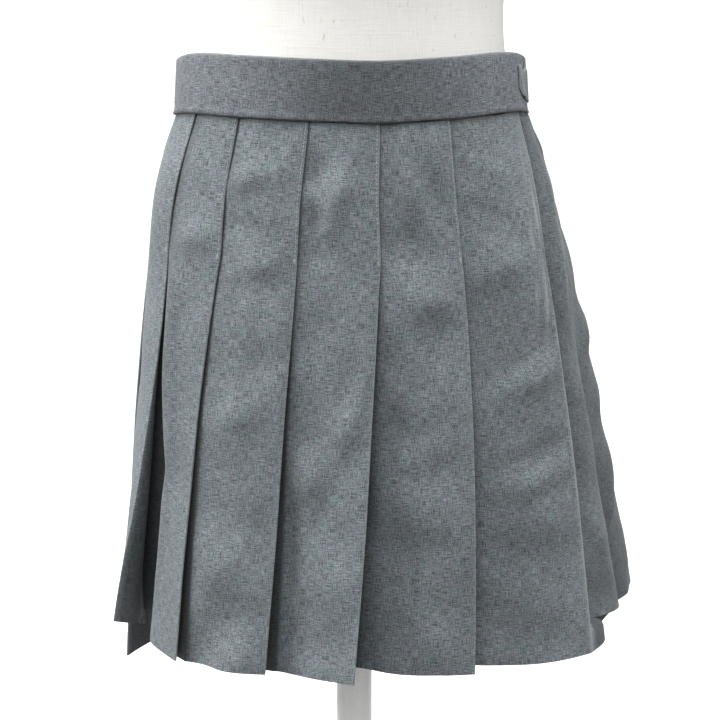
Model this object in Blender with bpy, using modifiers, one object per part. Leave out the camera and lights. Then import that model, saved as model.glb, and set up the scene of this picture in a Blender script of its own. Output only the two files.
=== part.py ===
"""A pleated mini skirt worn by a limbless dress form on a pole and a round base.

Units are metres. +Z is up, the wearer faces -Y, and the origin is the centre of the base's
underside. The skirt is one wall of cloth laid in fourteen knife pleats that point to the
wearer's left (+X across the front). They are sewn flat as far as the release line and swing
open below it. The front and the back are cut apart at the hidden inner folds of both sides.

Going round counter-clockwise seen from above, each pleat is a panel that ends in an outer
fold, a return that runs back under it, and an inner fold from which the next panel starts.
A place on the cloth is an azimuth about the middle of the figure and a stand-off from the
inner ring, the smooth egg-shaped tube on which the lowest layer lies.
"""

import math
from collections import namedtuple

import bmesh
import bpy
from mathutils import Matrix, Vector

# Driving dimensions
SEAM_Z = 0.540  # lower edge of the waistband, at the front
SKIRT_LENGTH = 0.359  # waistband seam to hem, at the front
BAND_HEIGHT = 0.040
CLOTH_WALL = 0.0010
LAYER_STEP = 0.0015  # between the middles of two layers that are sewn flat
RELEASE = 0.25  # share of the length down to which the pleats are sewn flat
SEWN_UNDERLAP = 0.020  # width of the return where it is sewn flat
SEAM_GAP = 0.0003

# The inner ring at a share of the skirt's length. An exponent above 2 squares its outline.
Ring = namedtuple("Ring", "share centre_x centre_y half_width half_depth")
RINGS = (
    Ring(0.00, -0.002, 0.000, 0.1155, 0.0900),
    Ring(0.14, -0.0012, 0.004, 0.1322, 0.0985),
    Ring(0.28, 0.0022, 0.007, 0.1408, 0.1050),
    Ring(0.53, 0.0050, 0.012, 0.1500, 0.1120),
    Ring(0.78, 0.0075, 0.014, 0.1557, 0.1140),
    Ring(1.00, 0.009, 0.015, 0.1585, 0.1150),
)
RING_EXPONENT = 2.3

# The waistband seam rises and dips round the figure: azimuth in degrees, rise from the front
WaistPoint = namedtuple("WaistPoint", "azimuth rise")
WAIST_LINE = (
    WaistPoint(135.0, -0.0050),
    WaistPoint(180.0, -0.0005),
    WaistPoint(205.0, 0.0045),
    WaistPoint(230.0, 0.0038),
    WaistPoint(255.0, 0.0024),
    WaistPoint(281.0, 0.0012),
    WaistPoint(308.0, 0.0030),
    WaistPoint(338.0, 0.0052),
    WaistPoint(360.0, 0.0000),
    WaistPoint(405.0, -0.0050),
    WaistPoint(450.0, -0.0090),
    WaistPoint(495.0, -0.0050),
    WaistPoint(540.0, -0.0005),
)

# Each outer fold, from the one behind the wearer's right side onwards. Azimuths are in
# degrees from +X: at the waist seam, at the release line and at the hem. stand_off is how far
# the fold swings clear of the ring at the hem, and growth below 1 makes it swing out early.
# lift is the hem's height there above the front hem, at the outer and at the inner fold.
# underlap is the width of the return at the hem. swing above 1 keeps the sideways turn for the
# hem. bow pushes the return forwards, in degrees, and dip sinks the panel that starts under
# the fold before it, or holds it up where it is below 0. roundness above 1 keeps the panel flat
# until near its fold.
FOLD_COLUMNS = "seam release hem stand_off growth lift inner_lift underlap swing bow dip roundness"
Fold = namedtuple("Fold", FOLD_COLUMNS)
FOLDS = (
    Fold(177.5, 177.5, 175.0, 0.013, 0.80, -0.034, -0.030, 0.050, 1.0, 0.0, 0.000, 0.9),
    Fold(207.7, 205.0, 186.7, 0.019, 1.40, 0.003, 0.003, 0.026, 2.5, 6.0, 0.000, 0.9),
    Fold(226.9, 225.0, 217.4, 0.017, 1.15, 0.000, -0.003, 0.030, 0.7, 0.0, 0.010, 1.8),
    Fold(253.4, 249.6, 242.0, 0.018, 1.15, 0.000, -0.003, 0.028, 0.9, 0.0, -0.010, 0.9),
    Fold(281.2, 278.2, 266.5, 0.032, 1.15, 0.000, 0.000, 0.026, 0.8, 0.0, -0.005, 1.2),
    Fold(307.6, 305.0, 299.0, 0.018, 1.15, 0.000, 0.000, 0.028, 1.1, 0.0, 0.003, 0.9),
    Fold(339.6, 334.4, 331.0, 0.021, 1.15, 0.001, 0.012, 0.030, 0.8, 12.0, 0.004, 1.3),
    Fold(353.8, 346.8, 359.0, 0.018, 2.20, 0.010, -0.006, 0.026, 2.4, 0.0, 0.006, 1.6),
    Fold(379.0, 375.0, 372.2, 0.037, 0.95, 0.014, -0.022, 0.030, 1.0, 0.0, 0.010, 0.9),
    Fold(403.0, 400.0, 390.9, 0.022, 1.15, -0.010, -0.024, 0.030, 1.0, 0.0, 0.003, 0.9),
    Fold(430.0, 426.0, 414.5, 0.018, 1.15, -0.022, -0.028, 0.030, 0.9, 0.0, 0.002, 0.9),
    Fold(457.0, 454.0, 443.3, 0.024, 1.15, -0.030, -0.032, 0.028, 1.1, 0.0, 0.003, 0.9),
    Fold(483.5, 480.5, 475.0, 0.016, 1.15, -0.035, -0.035, 0.030, 0.8, 0.0, 0.003, 0.9),
    Fold(510.5, 507.5, 505.0, 0.021, 1.15, -0.036, -0.035, 0.028, 1.0, 0.0, 0.003, 0.9),
)
TURN = 360.0
FRONT_PANELS = range(1, 8)  # the panels that end at the second to the eighth fold
BACK_PANELS = range(8, 15)

# Shares of the length at which the cloth's section is worked out
ROW_SHARES = (0.0, 0.13, RELEASE, 0.38, 0.53, 0.68, 0.84, 1.0)
OVERLAP_STEPS = (0.0, 1 / 3, 2 / 3, 1.0)
CLIMB_STEPS = (1 / 3, 2 / 3)
RETURN_SAG = 1.4
BOWED_RETURN_SAG = 3.0
DIP_REACH = 0.6  # share of the shown panel over which a dip fades out

# Waistband
BAND_WALL = 0.0028
BAND_STAND_OFF = 0.0025  # middle of the band's wall from the ring, over the sewn pleats
BAND_TAPER = 0.0025  # how much narrower the band's top is on each side
BAND_CLOSING = 347.0  # azimuth at which its ends meet
BAND_END_GAP = 0.2  # degrees on each side of the closing
BAND_SEGMENTS = 60
BAND_BEVEL = 0.0008
BandRow = namedtuple("BandRow", "height swell")
BAND_ROWS = (
    BandRow(0.0003, -0.0002),
    BandRow(0.0040, 0.0003),
    BandRow(0.0220, 0.0000),
    BandRow(0.0400, -0.0003),
)

# Closing tab of the band, azimuths in degrees, heights above the seam
TAB_WALL = 0.0016
TAB_FRONT, TAB_REAR = 339.0, 361.0
TAB_LOW_FRONT, TAB_LOW_REAR = 0.0125, 0.0085
TAB_HIGH_FRONT, TAB_HIGH_REAR = 0.0320, 0.0300
TAB_SEGMENTS = 10

# Concealed zip on the inside of the left side
ZIP_WALL = 0.0008
ZIP_AZIMUTH = 345.0
ZIP_HALF_WIDTH = 3.0  # degrees
ZIP_STAND_OFF = -0.0014
ZIP_PANEL = 8  # it follows the dip of the first panel of the back
ZIP_SHARES = (0.36, RELEASE, 0.13, 0.01)  # bottom to top, bent where the cloth's rows are

# Dress form: its outline at a height, half a width and the reach to the front and the back
Level = namedtuple("Level", "z centre_x half_width front back")
FORM_LEVELS = (
    Level(0.386, 0.0000, 0.1285, 0.0880, 0.0995),
    Level(0.392, 0.0000, 0.1315, 0.0900, 0.1025),
    Level(0.425, 0.0000, 0.1345, 0.0915, 0.1055),
    Level(0.460, 0.0000, 0.1325, 0.0915, 0.1032),
    Level(0.500, -0.001, 0.1240, 0.0905, 0.0955),
    Level(0.538, -0.002, 0.1149, 0.0894, 0.0873),
    Level(0.560, -0.001, 0.1085, 0.0880, 0.0860),
    Level(0.580, 0.0000, 0.1020, 0.0870, 0.0845),
    Level(0.617, 0.0000, 0.1005, 0.0870, 0.0835),
    Level(0.665, 0.0000, 0.1090, 0.0925, 0.0870),
    Level(0.710, 0.0000, 0.1240, 0.1030, 0.0930),
    Level(0.755, 0.0000, 0.1385, 0.1200, 0.0985),
    Level(0.795, 0.0000, 0.1460, 0.1180, 0.1020),
    Level(0.840, 0.0000, 0.1540, 0.1020, 0.1030),
    Level(0.885, 0.0000, 0.1640, 0.0880, 0.0990),
    Level(0.920, 0.0000, 0.1690, 0.0780, 0.0920),
    Level(0.945, 0.0000, 0.1600, 0.0690, 0.0820),
    Level(0.965, 0.0000, 0.1320, 0.0610, 0.0720),
    Level(0.981, 0.0000, 0.0960, 0.0550, 0.0630),
    Level(0.996, 0.0000, 0.0690, 0.0510, 0.0560),
    Level(1.015, 0.0000, 0.0590, 0.0490, 0.0520),
    Level(1.055, 0.0000, 0.0560, 0.0480, 0.0500),
)
FORM_EXPONENT = 2.15
FORM_SEGMENTS = 44
PLATE_THICKNESS = 0.012
PLATE_INSET = 0.004
NECK_CAP_RADIUS = 0.049

# Stand
BASE_RADIUS = 0.150
BASE_THICKNESS = 0.010
HUB_RADIUS = 0.024
HUB_HEIGHT = 0.045
POLE_RADIUS = 0.0125
SCREW_STEPS = 40
MERGE_DISTANCE = 0.0001

Finish = namedtuple("Finish", "colour roughness metallic")
CLOTH = Finish((0.155, 0.165, 0.180), 0.85, 0.0)
ZIP_TAPE = Finish((0.060, 0.062, 0.066), 0.80, 0.0)
LINEN = Finish((0.760, 0.740, 0.700), 0.90, 0.0)
WOOD = Finish((0.560, 0.400, 0.250), 0.45, 0.0)
WHITE_PAINT = Finish((0.800, 0.800, 0.790), 0.35, 0.0)


def clear_scene():
    for obj in list(bpy.data.objects):
        bpy.data.objects.remove(obj, do_unlink=True)


def make_material(name, finish):
    material = bpy.data.materials.new(name)
    material.use_nodes = True
    shader = material.node_tree.nodes["Principled BSDF"]
    shader.inputs["Base Color"].default_value = (*finish.colour, 1.0)
    shader.inputs["Roughness"].default_value = finish.roughness
    shader.inputs["Metallic"].default_value = finish.metallic
    material.diffuse_color = (*finish.colour, 1.0)
    return material


def smooth_table(rows, key, field, at):
    """Read a field of a table at any place between its rows, on a smooth curve."""
    places = [getattr(row, key) for row in rows]
    values = [getattr(row, field) for row in rows]
    last = len(rows) - 1
    span = next((k for k in range(last) if at <= places[k + 1]), last - 1)
    slopes = []
    for k in (span, span + 1):
        before, after = max(k - 1, 0), min(k + 1, last)
        slopes.append((values[after] - values[before]) / (places[after] - places[before]))
    width = places[span + 1] - places[span]
    t = (at - places[span]) / width
    start = values[span] * (2 * t**3 - 3 * t**2 + 1) + slopes[0] * width * (t**3 - 2 * t**2 + t)
    end = values[span + 1] * (3 * t**2 - 2 * t**3) + slopes[1] * width * (t**3 - t**2)
    return start + end


def superellipse_radius(azimuth, half_width, half_depth, exponent):
    across = abs(math.cos(azimuth)) / half_width
    along = abs(math.sin(azimuth)) / half_depth
    return (across**exponent + along**exponent) ** (-1.0 / exponent)


class SkirtRing:
    """The inner ring of the skirt at one share of its length."""

    def __init__(self, share):
        self.share = share
        self.centre_x = smooth_table(RINGS, "share", "centre_x", share)
        self.centre_y = smooth_table(RINGS, "share", "centre_y", share)
        self.half_width = smooth_table(RINGS, "share", "half_width", share)
        self.half_depth = smooth_table(RINGS, "share", "half_depth", share)

    def radius(self, azimuth):
        return superellipse_radius(math.radians(azimuth), self.half_width, self.half_depth, RING_EXPONENT)

    def place(self, azimuth, stand_off):
        reach = self.radius(azimuth) + stand_off
        angle = math.radians(azimuth)
        return Vector((self.centre_x + reach * math.cos(angle), self.centre_y + reach * math.sin(angle)))


def seam_height(azimuth):
    """Height of the waist seam, which dips towards the middle of the back."""
    first = WAIST_LINE[0].azimuth
    return SEAM_Z + smooth_table(WAIST_LINE, "azimuth", "rise", first + (azimuth - first) % TURN)


def cloth_height(azimuth, share, lift):
    """Height of the cloth; a lifted hem hardly changes the part that is sewn flat."""
    seam = seam_height(azimuth)
    return seam + (SEAM_Z - SKIRT_LENGTH - seam) * share + lift * share**2


def opening(share):
    """How far the pleats have opened: 0 down to the release line and 1 at the hem."""
    return max(0.0, (share - RELEASE) / (1.0 - RELEASE))


def fold_at(index):
    """A fold and the whole turns that its azimuths need; indexes run on past the last fold."""
    turns, row = divmod(index, len(FOLDS))
    return FOLDS[row], turns * TURN


class PleatLine:
    """One outer fold and its inner fold, as they lie in one section of the skirt."""

    def __init__(self, index, ring):
        fold, turned = fold_at(index)
        opened = opening(ring.share)
        if ring.share <= RELEASE:
            outer = fold.seam + (fold.release - fold.seam) * ring.share / RELEASE
        else:
            outer = fold.release + (fold.hem - fold.release) * opened**fold.swing
        growth = opened**fold.growth if opened else 0.0
        underlap = SEWN_UNDERLAP + (fold.underlap - SEWN_UNDERLAP) * opened
        self.fold = fold
        self.outer = outer + turned
        self.inner = self.outer - math.degrees(underlap / ring.radius(outer))
        self.stand_off = fold.stand_off * growth
        self.bow = fold.bow * opened
        self.dip = fold.dip * opened


def smooth_step(value):
    t = min(max(value, 0.0), 1.0)
    return t * t * (3.0 - 2.0 * t)


def panel_points(before, line):
    """The panel from the inner fold of the pleat before to this outer fold.

    Each point is an azimuth, a stand-off and a hem lift.
    """
    top = 2 * LAYER_STEP
    points = []
    for step in OVERLAP_STEPS:
        azimuth = before.inner + (before.outer - before.inner) * step
        points.append([azimuth, -line.dip * step**RETURN_SAG])
    shown = line.outer - before.outer
    covered = (line.inner - before.outer) / shown
    places = [covered * step for step in CLIMB_STEPS]
    places += [covered + (1.0 - covered) * step for step in OVERLAP_STEPS]
    for place in places:
        stand_off = top * smooth_step(place / covered) + line.stand_off * place**line.fold.roundness
        stand_off -= line.dip * max(0.0, 1.0 - place / DIP_REACH) ** 2
        points.append([before.outer + shown * place, stand_off])
    width = line.outer - before.inner
    for point in points:
        along = (point[0] - before.inner) / width
        point.append(before.fold.inner_lift + (line.fold.lift - before.fold.inner_lift) * along)
    return points


def return_points(line):
    """The return from the outer fold back to the inner fold, under the panel."""
    sag = BOWED_RETURN_SAG if line.fold.bow else RETURN_SAG
    points = []
    for step in OVERLAP_STEPS:
        azimuth = line.outer + (line.inner - line.outer) * step + line.bow * math.sin(math.pi * step)
        stand_off = LAYER_STEP + line.stand_off * (1.0 - step) ** sag
        lift = line.fold.lift + (line.fold.inner_lift - line.fold.lift) * step
        points.append([azimuth, stand_off, lift])
    return points


def right_of(way):
    return Vector((way.y, -way.x))


def fold_curve(centre, way_in, way_out, outer):
    """The round edge that joins two layers: four points, each half a layer step from its centre.

    The cloth turns left round an outer fold and right round an inner one.
    """
    side = 1.0 if outer else -1.0
    turn = way_in.angle_signed(way_out) * -side
    if turn < 0.0:
        turn += 2.0 * math.pi
    arm = right_of(way_in) * side * LAYER_STEP / 2
    points = []
    for step in OVERLAP_STEPS:
        arm_there = arm.copy()
        arm_there.rotate(Matrix.Rotation(side * turn * step, 2))
        points.append(centre + arm_there)
    return points


def section(ring, panels):
    """The middle of the cloth in one section: plan points with their heights."""
    runs = []
    for index in panels:
        before, line = PleatLine(index - 1, ring), PleatLine(index, ring)
        for points in (panel_points(before, line), return_points(line)):
            plan = [ring.place(azimuth, stand_off) for azimuth, stand_off, _ in points]
            heights = [cloth_height(azimuth, ring.share, lift) for azimuth, _, lift in points]
            runs.append((plan, heights))
    plan, heights = list(runs[0][0]), list(runs[0][1])
    outer = True
    for next_plan, next_heights in runs[1:]:
        centre = (plan[-1] + next_plan[0]) / 2
        way_in = (centre - plan[-2]).normalized()
        way_out = (next_plan[1] - centre).normalized()
        plan[-1:] = fold_curve(centre, way_in, way_out, outer) + next_plan[1:]
        heights += [heights[-1], next_heights[0]] + next_heights
        outer = not outer
    return plan, heights


def wall_sides(plan, half_wall):
    """Both faces of a wall whose middle runs through the plan points."""
    outside, inside = [], []
    for k, point in enumerate(plan):
        ways = []
        if k > 0:
            ways.append((point - plan[k - 1]).normalized())
        if k < len(plan) - 1:
            ways.append((plan[k + 1] - point).normalized())
        way = sum(ways, Vector((0.0, 0.0))).normalized()
        across = Vector((way.y, -way.x))
        reach = half_wall / max(way.dot(ways[0]), 0.5)
        outside.append(point + across * reach)
        inside.append(point - across * reach)
    return outside, inside


def skirt_mesh(name, panels):
    """A closed wall of cloth, lofted through its sections.

    The folds are too tight for a shell modifier, so both faces are worked out here.
    """
    mesh = bmesh.new()
    grid = []
    for share in ROW_SHARES:
        plan, heights = section(SkirtRing(share), panels)
        if share == 0.0:
            heights = [height - SEAM_GAP for height in heights]
        outside, inside = wall_sides(plan, CLOTH_WALL / 2)
        row = []
        for side in (outside, inside):
            row.append([mesh.verts.new((p.x, p.y, z)) for p, z in zip(side, heights)])
        grid.append(row)
    columns = len(grid[0][0])
    for upper, lower in zip(grid, grid[1:]):
        for k in range(columns - 1):
            mesh.faces.new((upper[0][k], lower[0][k], lower[0][k + 1], upper[0][k + 1]))
            mesh.faces.new((upper[1][k], upper[1][k + 1], lower[1][k + 1], lower[1][k]))
        mesh.faces.new((upper[0][0], upper[1][0], lower[1][0], lower[0][0]))
        mesh.faces.new((upper[0][-1], lower[0][-1], lower[1][-1], upper[1][-1]))
    for k in range(columns - 1):
        top, bottom = grid[0], grid[-1]
        mesh.faces.new((top[0][k], top[0][k + 1], top[1][k + 1], top[1][k]))
        mesh.faces.new((bottom[0][k], bottom[1][k], bottom[1][k + 1], bottom[0][k + 1]))
    return finish_mesh(name, mesh)


def finish_mesh(name, mesh):
    bmesh.ops.recalc_face_normals(mesh, faces=mesh.faces)
    data = bpy.data.meshes.new(name)
    mesh.to_mesh(data)
    mesh.free()
    return data


def add_part(name, data, material, collection):
    obj = bpy.data.objects.new(name, data)
    data.materials.append(material)
    collection.objects.link(obj)
    return obj


def shade_smooth(obj, angle=math.radians(40)):
    obj.data.shade_smooth()
    obj.data.set_sharp_from_angle(angle=angle)


def grid_sheet(name, rows):
    """An open sheet through rows of points, facing away from the figure."""
    mesh = bmesh.new()
    grid = [[mesh.verts.new(point) for point in row] for row in rows]
    for lower, upper in zip(grid, grid[1:]):
        for k in range(len(lower) - 1):
            mesh.faces.new((lower[k], lower[k + 1], upper[k + 1], upper[k]))
    data = bpy.data.meshes.new(name)
    mesh.to_mesh(data)
    mesh.free()
    return data


def add_shell(obj, thickness, bevel):
    solidify = obj.modifiers.new("wall", "SOLIDIFY")
    solidify.thickness = thickness
    solidify.offset = 0.0
    solidify.use_even_offset = True
    if bevel:
        edges = obj.modifiers.new("edges", "BEVEL")
        edges.width = bevel
        edges.segments = 1
        edges.limit_method = "ANGLE"
        edges.angle_limit = math.radians(60)


def band_place(azimuth, height, swell):
    """A point of the waistband's middle, whose outline narrows towards its top."""
    ring = SkirtRing(0.0)
    stand_off = BAND_STAND_OFF + swell - BAND_TAPER * height / BAND_HEIGHT
    plan = ring.place(azimuth, stand_off)
    return (plan.x, plan.y, seam_height(azimuth) + height)


def make_waistband(material, collection):
    start = BAND_CLOSING + BAND_END_GAP
    sweep = TURN - 2 * BAND_END_GAP
    azimuths = [start + sweep * k / BAND_SEGMENTS for k in range(BAND_SEGMENTS + 1)]
    rows = [[band_place(azimuth, row.height, row.swell) for azimuth in azimuths] for row in BAND_ROWS]
    band = add_part("waistband", grid_sheet("waistband", rows), material, collection)
    add_shell(band, BAND_WALL, BAND_BEVEL)
    shade_smooth(band)


def make_tab(material, collection):
    clear = BAND_WALL / 2 + TAB_WALL / 2 + SEAM_GAP + 0.0002
    rows = []
    for level in (0.0, 0.5, 1.0):
        row = []
        for k in range(TAB_SEGMENTS + 1):
            along = k / TAB_SEGMENTS
            low = TAB_LOW_FRONT + (TAB_LOW_REAR - TAB_LOW_FRONT) * along
            high = TAB_HIGH_FRONT + (TAB_HIGH_REAR - TAB_HIGH_FRONT) * along
            azimuth = TAB_FRONT + (TAB_REAR - TAB_FRONT) * along
            row.append(band_place(azimuth, low + (high - low) * level, clear))
        rows.append(row)
    tab = add_part("waistband_tab", grid_sheet("waistband_tab", rows), material, collection)
    add_shell(tab, TAB_WALL, TAB_WALL / 4)


def make_zip(material, collection):
    rows = []
    for share in ZIP_SHARES:
        ring = SkirtRing(share)
        stand_off = ZIP_STAND_OFF - FOLDS[ZIP_PANEL].dip * opening(share)
        row = []
        for side in (-1.0, 0.0, 1.0):
            azimuth = ZIP_AZIMUTH + ZIP_HALF_WIDTH * side
            plan = ring.place(azimuth, stand_off)
            row.append((plan.x, plan.y, cloth_height(azimuth, share, 0.0)))
        rows.append(row)
    tape = add_part("side_zip", grid_sheet("side_zip", rows), material, collection)
    add_shell(tape, ZIP_WALL, 0.0)


def form_outline(level):
    points = []
    for k in range(FORM_SEGMENTS):
        angle = TURN * k / FORM_SEGMENTS
        depth = level.back if math.sin(math.radians(angle)) > 0 else level.front
        reach = superellipse_radius(math.radians(angle), level.half_width, depth, FORM_EXPONENT)
        x = level.centre_x + reach * math.cos(math.radians(angle))
        points.append((x, reach * math.sin(math.radians(angle)), level.z))
    return points


def loft_closed(name, rings):
    """A solid lofted through closed rings, bottom to top, with a flat cap at each end."""
    mesh = bmesh.new()
    grid = [[mesh.verts.new(point) for point in ring] for ring in rings]
    count = len(grid[0])
    for lower, upper in zip(grid, grid[1:]):
        for k in range(count):
            after = (k + 1) % count
            mesh.faces.new((lower[k], lower[after], upper[after], upper[k]))
    mesh.faces.new(list(reversed(grid[0])))
    mesh.faces.new(grid[-1])
    return finish_mesh(name, mesh)


def make_form(linen, wood, collection):
    body = add_part("form_body", loft_closed("form_body", map(form_outline, FORM_LEVELS)), linen, collection)
    shade_smooth(body)
    lowest = FORM_LEVELS[0]
    outlines = []
    for drop in (PLATE_THICKNESS, 0.0):
        level = lowest._replace(
            z=lowest.z - SEAM_GAP - drop,
            half_width=lowest.half_width - PLATE_INSET,
            front=lowest.front - PLATE_INSET,
            back=lowest.back - PLATE_INSET,
        )
        outlines.append(form_outline(level))
    add_part("form_bottom_plate", loft_closed("form_bottom_plate", outlines), wood, collection)


def turned(name, profile, material, collection):
    """A turned piece: its profile runs down its outer side, top to bottom."""
    mesh = bmesh.new()
    verts = [mesh.verts.new((radius, 0.0, z)) for radius, z in profile]
    for upper, lower in zip(verts, verts[1:]):
        mesh.edges.new((upper, lower))
    data = bpy.data.meshes.new(name)
    mesh.to_mesh(data)
    mesh.free()
    obj = add_part(name, data, material, collection)
    screw = obj.modifiers.new("turn", "SCREW")
    screw.steps = SCREW_STEPS
    screw.render_steps = SCREW_STEPS
    screw.use_merge_vertices = True
    screw.merge_threshold = MERGE_DISTANCE
    return obj


def make_stand(wood, paint, collection):
    neck_top = FORM_LEVELS[-1].z + SEAM_GAP
    cap = NECK_CAP_RADIUS
    cap_profile = (
        (0.0, neck_top + 0.030),
        (0.007, neck_top + 0.028),
        (0.010, neck_top + 0.022),
        (0.007, neck_top + 0.016),
        (0.014, neck_top + 0.014),
        (cap * 0.75, neck_top + 0.011),
        (cap, neck_top + 0.005),
        (cap, neck_top),
        (0.0, neck_top),
    )
    turned("form_neck_cap", cap_profile, wood, collection)
    base_profile = (
        (0.0, HUB_HEIGHT),
        (HUB_RADIUS - 0.003, HUB_HEIGHT),
        (HUB_RADIUS, HUB_HEIGHT - 0.003),
        (HUB_RADIUS, BASE_THICKNESS + 0.008),
        (HUB_RADIUS + 0.008, BASE_THICKNESS + 0.001),
        (BASE_RADIUS - 0.006, BASE_THICKNESS),
        (BASE_RADIUS - 0.001, BASE_THICKNESS - 0.003),
        (BASE_RADIUS, BASE_THICKNESS - 0.006),
        (BASE_RADIUS, 0.002),
        (BASE_RADIUS - 0.002, 0.0),
        (0.0, 0.0),
    )
    turned("form_base", base_profile, paint, collection)
    pole_foot = HUB_HEIGHT + SEAM_GAP
    pole_head = FORM_LEVELS[0].z - PLATE_THICKNESS - 2 * SEAM_GAP
    pole_profile = (
        (0.0, pole_head),
        (POLE_RADIUS + 0.010, pole_head),
        (POLE_RADIUS + 0.010, pole_head - 0.006),
        (POLE_RADIUS, pole_head - 0.010),
        (POLE_RADIUS, pole_foot),
        (0.0, pole_foot),
    )
    turned("form_pole", pole_profile, paint, collection)


def main():
    clear_scene()
    collection = bpy.data.collections.new("pleated_mini_skirt_on_form")
    bpy.context.scene.collection.children.link(collection)
    cloth = make_material("cloth", CLOTH)
    add_part("skirt_front", skirt_mesh("skirt_front", FRONT_PANELS), cloth, collection)
    add_part("skirt_back", skirt_mesh("skirt_back", BACK_PANELS), make_material("cloth_back", CLOTH), collection)
    make_waistband(make_material("band", CLOTH), collection)
    make_tab(make_material("tab", CLOTH), collection)
    make_zip(make_material("zip_tape", ZIP_TAPE), collection)
    wood = make_material("wood", WOOD)
    make_form(make_material("linen", LINEN), wood, collection)
    make_stand(wood, make_material("white_paint", WHITE_PAINT), collection)


main()
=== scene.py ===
"""The looks of a pleated mini skirt on a limbless, linen-covered dress form.

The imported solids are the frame. Each sub-assembly here is a class that works out its own fine
surface in the same sizes as the solids, in metres, and dresses it: the pleated cloth of the
front and the back with its creases and edge stitching, the waistband, its closing tab, the
concealed side zip, the torso, its turned caps and its stand.
"""

import logging
import math
from collections.abc import Iterable, Sequence
from dataclasses import dataclass, field
from enum import Enum

import bmesh
import bpy
import numpy as np
from mathutils import Matrix, Vector, noise


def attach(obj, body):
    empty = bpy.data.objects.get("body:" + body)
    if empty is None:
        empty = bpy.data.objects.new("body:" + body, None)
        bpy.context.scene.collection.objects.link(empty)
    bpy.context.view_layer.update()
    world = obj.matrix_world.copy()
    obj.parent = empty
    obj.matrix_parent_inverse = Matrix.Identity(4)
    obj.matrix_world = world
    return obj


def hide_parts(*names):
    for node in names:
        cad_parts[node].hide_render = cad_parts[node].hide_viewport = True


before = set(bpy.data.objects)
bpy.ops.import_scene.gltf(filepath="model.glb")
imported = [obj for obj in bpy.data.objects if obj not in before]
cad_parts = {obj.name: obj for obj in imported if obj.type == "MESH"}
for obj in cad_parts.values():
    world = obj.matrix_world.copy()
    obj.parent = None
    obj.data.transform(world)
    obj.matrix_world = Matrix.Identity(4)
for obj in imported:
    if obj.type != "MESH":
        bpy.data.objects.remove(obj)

LOG = logging.getLogger("pleated_skirt")
BODY = "root"
TURN = 360.0


class Slot(Enum):
    """The record's material slots."""

    CLOTH = "cloth"
    ZIP_TAPE = "zip_tape"
    LINEN = "linen"
    WOOD = "wood"
    WHITE_PAINT = "white_paint"


class Side(Enum):
    """Which run of pleats a piece of cloth holds, as the indexes of its outer folds."""

    FRONT = range(1, 8)
    BACK = range(8, 15)


# ---------------------------------------------------------------------------------------
# Small helpers
# ---------------------------------------------------------------------------------------


def smooth_table(rows: Sequence, key: str, column: str, at: float) -> float:
    """Read a column of a table at any place between its rows, on a smooth curve.

    Args:
        rows: the table's rows, in the order of their keys.
        key: the name of the field that places each row.
        column: the name of the field to read.
        at: the place to read it at.

    Returns:
        The value there.
    """
    places = [getattr(row, key) for row in rows]
    values = [getattr(row, column) for row in rows]
    last = len(rows) - 1
    span = next((k for k in range(last) if at <= places[k + 1]), last - 1)
    slopes = []
    for k in (span, span + 1):
        before, after = max(k - 1, 0), min(k + 1, last)
        slopes.append((values[after] - values[before]) / (places[after] - places[before]))
    width = places[span + 1] - places[span]
    t = (at - places[span]) / width
    start = values[span] * (2 * t**3 - 3 * t**2 + 1) + slopes[0] * width * (t**3 - 2 * t**2 + t)
    return start + values[span + 1] * (3 * t**2 - 2 * t**3) + slopes[1] * width * (t**3 - t**2)


def smooth_step(value: float) -> float:
    """Ease from 0 to 1 as the value does."""
    t = min(max(value, 0.0), 1.0)
    return t * t * (3.0 - 2.0 * t)


def bell(distance: float, width: float) -> float:
    """A soft bump: 1 at no distance, and almost nothing past twice the width."""
    return math.exp(-((distance / width) ** 2))


def drift(x: float, y: float, seed: float) -> float:
    """Smooth unevenness between -1 and 1, the same on each run."""
    return noise.noise(Vector((x, y, seed)))


def near_azimuth(azimuths: np.ndarray, centre: float, width: float) -> np.ndarray:
    """A soft mask: 1 at an azimuth in degrees, and almost nothing past twice the width."""
    return np.exp(-((((azimuths - centre + TURN / 2) % TURN - TURN / 2) / width) ** 2))


def distances(points: np.ndarray) -> np.ndarray:
    """Distance of each point from the first one, walked along the points."""
    return np.concatenate([[0.0], np.cumsum(np.linalg.norm(np.diff(points, axis=0), axis=1))])


def superellipse_radius(angle: float, half_width: float, half_depth: float, exponent: float) -> float:
    """Distance from the centre of a squared-off ellipse to its edge.

    Args:
        angle: direction from +X, in radians.
        half_width: reach along X.
        half_depth: reach along Y.
        exponent: above 2 squares the outline.

    Returns:
        The distance.
    """
    across = abs(math.cos(angle)) / half_width
    along = abs(math.sin(angle)) / half_depth
    return (across**exponent + along**exponent) ** (-1.0 / exponent)


def triangles(obj: bpy.types.Object) -> int:
    """Number of triangles in an object's mesh."""
    return sum(len(polygon.vertices) - 2 for polygon in obj.data.polygons)


def settle(
    obj: bpy.types.Object,
    material: bpy.types.Material,
    replaces: Iterable[str] = (),
    sharp_angle: float = 50.0,
) -> bpy.types.Object:
    """Finish a piece: shade it, give it its material and let it ride on the frame.

    Args:
        obj: the finished piece, at the origin.
        material: its finish.
        replaces: the solids it stands for.
        sharp_angle: edges above this angle, in degrees, stay sharp.

    Returns:
        The same object.
    """
    obj.data.materials.clear()
    obj.data.materials.append(material)
    obj.data.shade_smooth()
    obj.data.set_sharp_from_angle(angle=math.radians(sharp_angle))
    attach(obj, BODY)
    names = list(replaces)
    if names:
        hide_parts(*names)
    LOG.info("%s: %d triangles", obj.name, triangles(obj))
    return obj


def new_object(name: str, data: bpy.types.Mesh) -> bpy.types.Object:
    """Link a mesh into the scene under a name."""
    obj = bpy.data.objects.new(name, data)
    bpy.context.scene.collection.objects.link(obj)
    return obj


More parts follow.
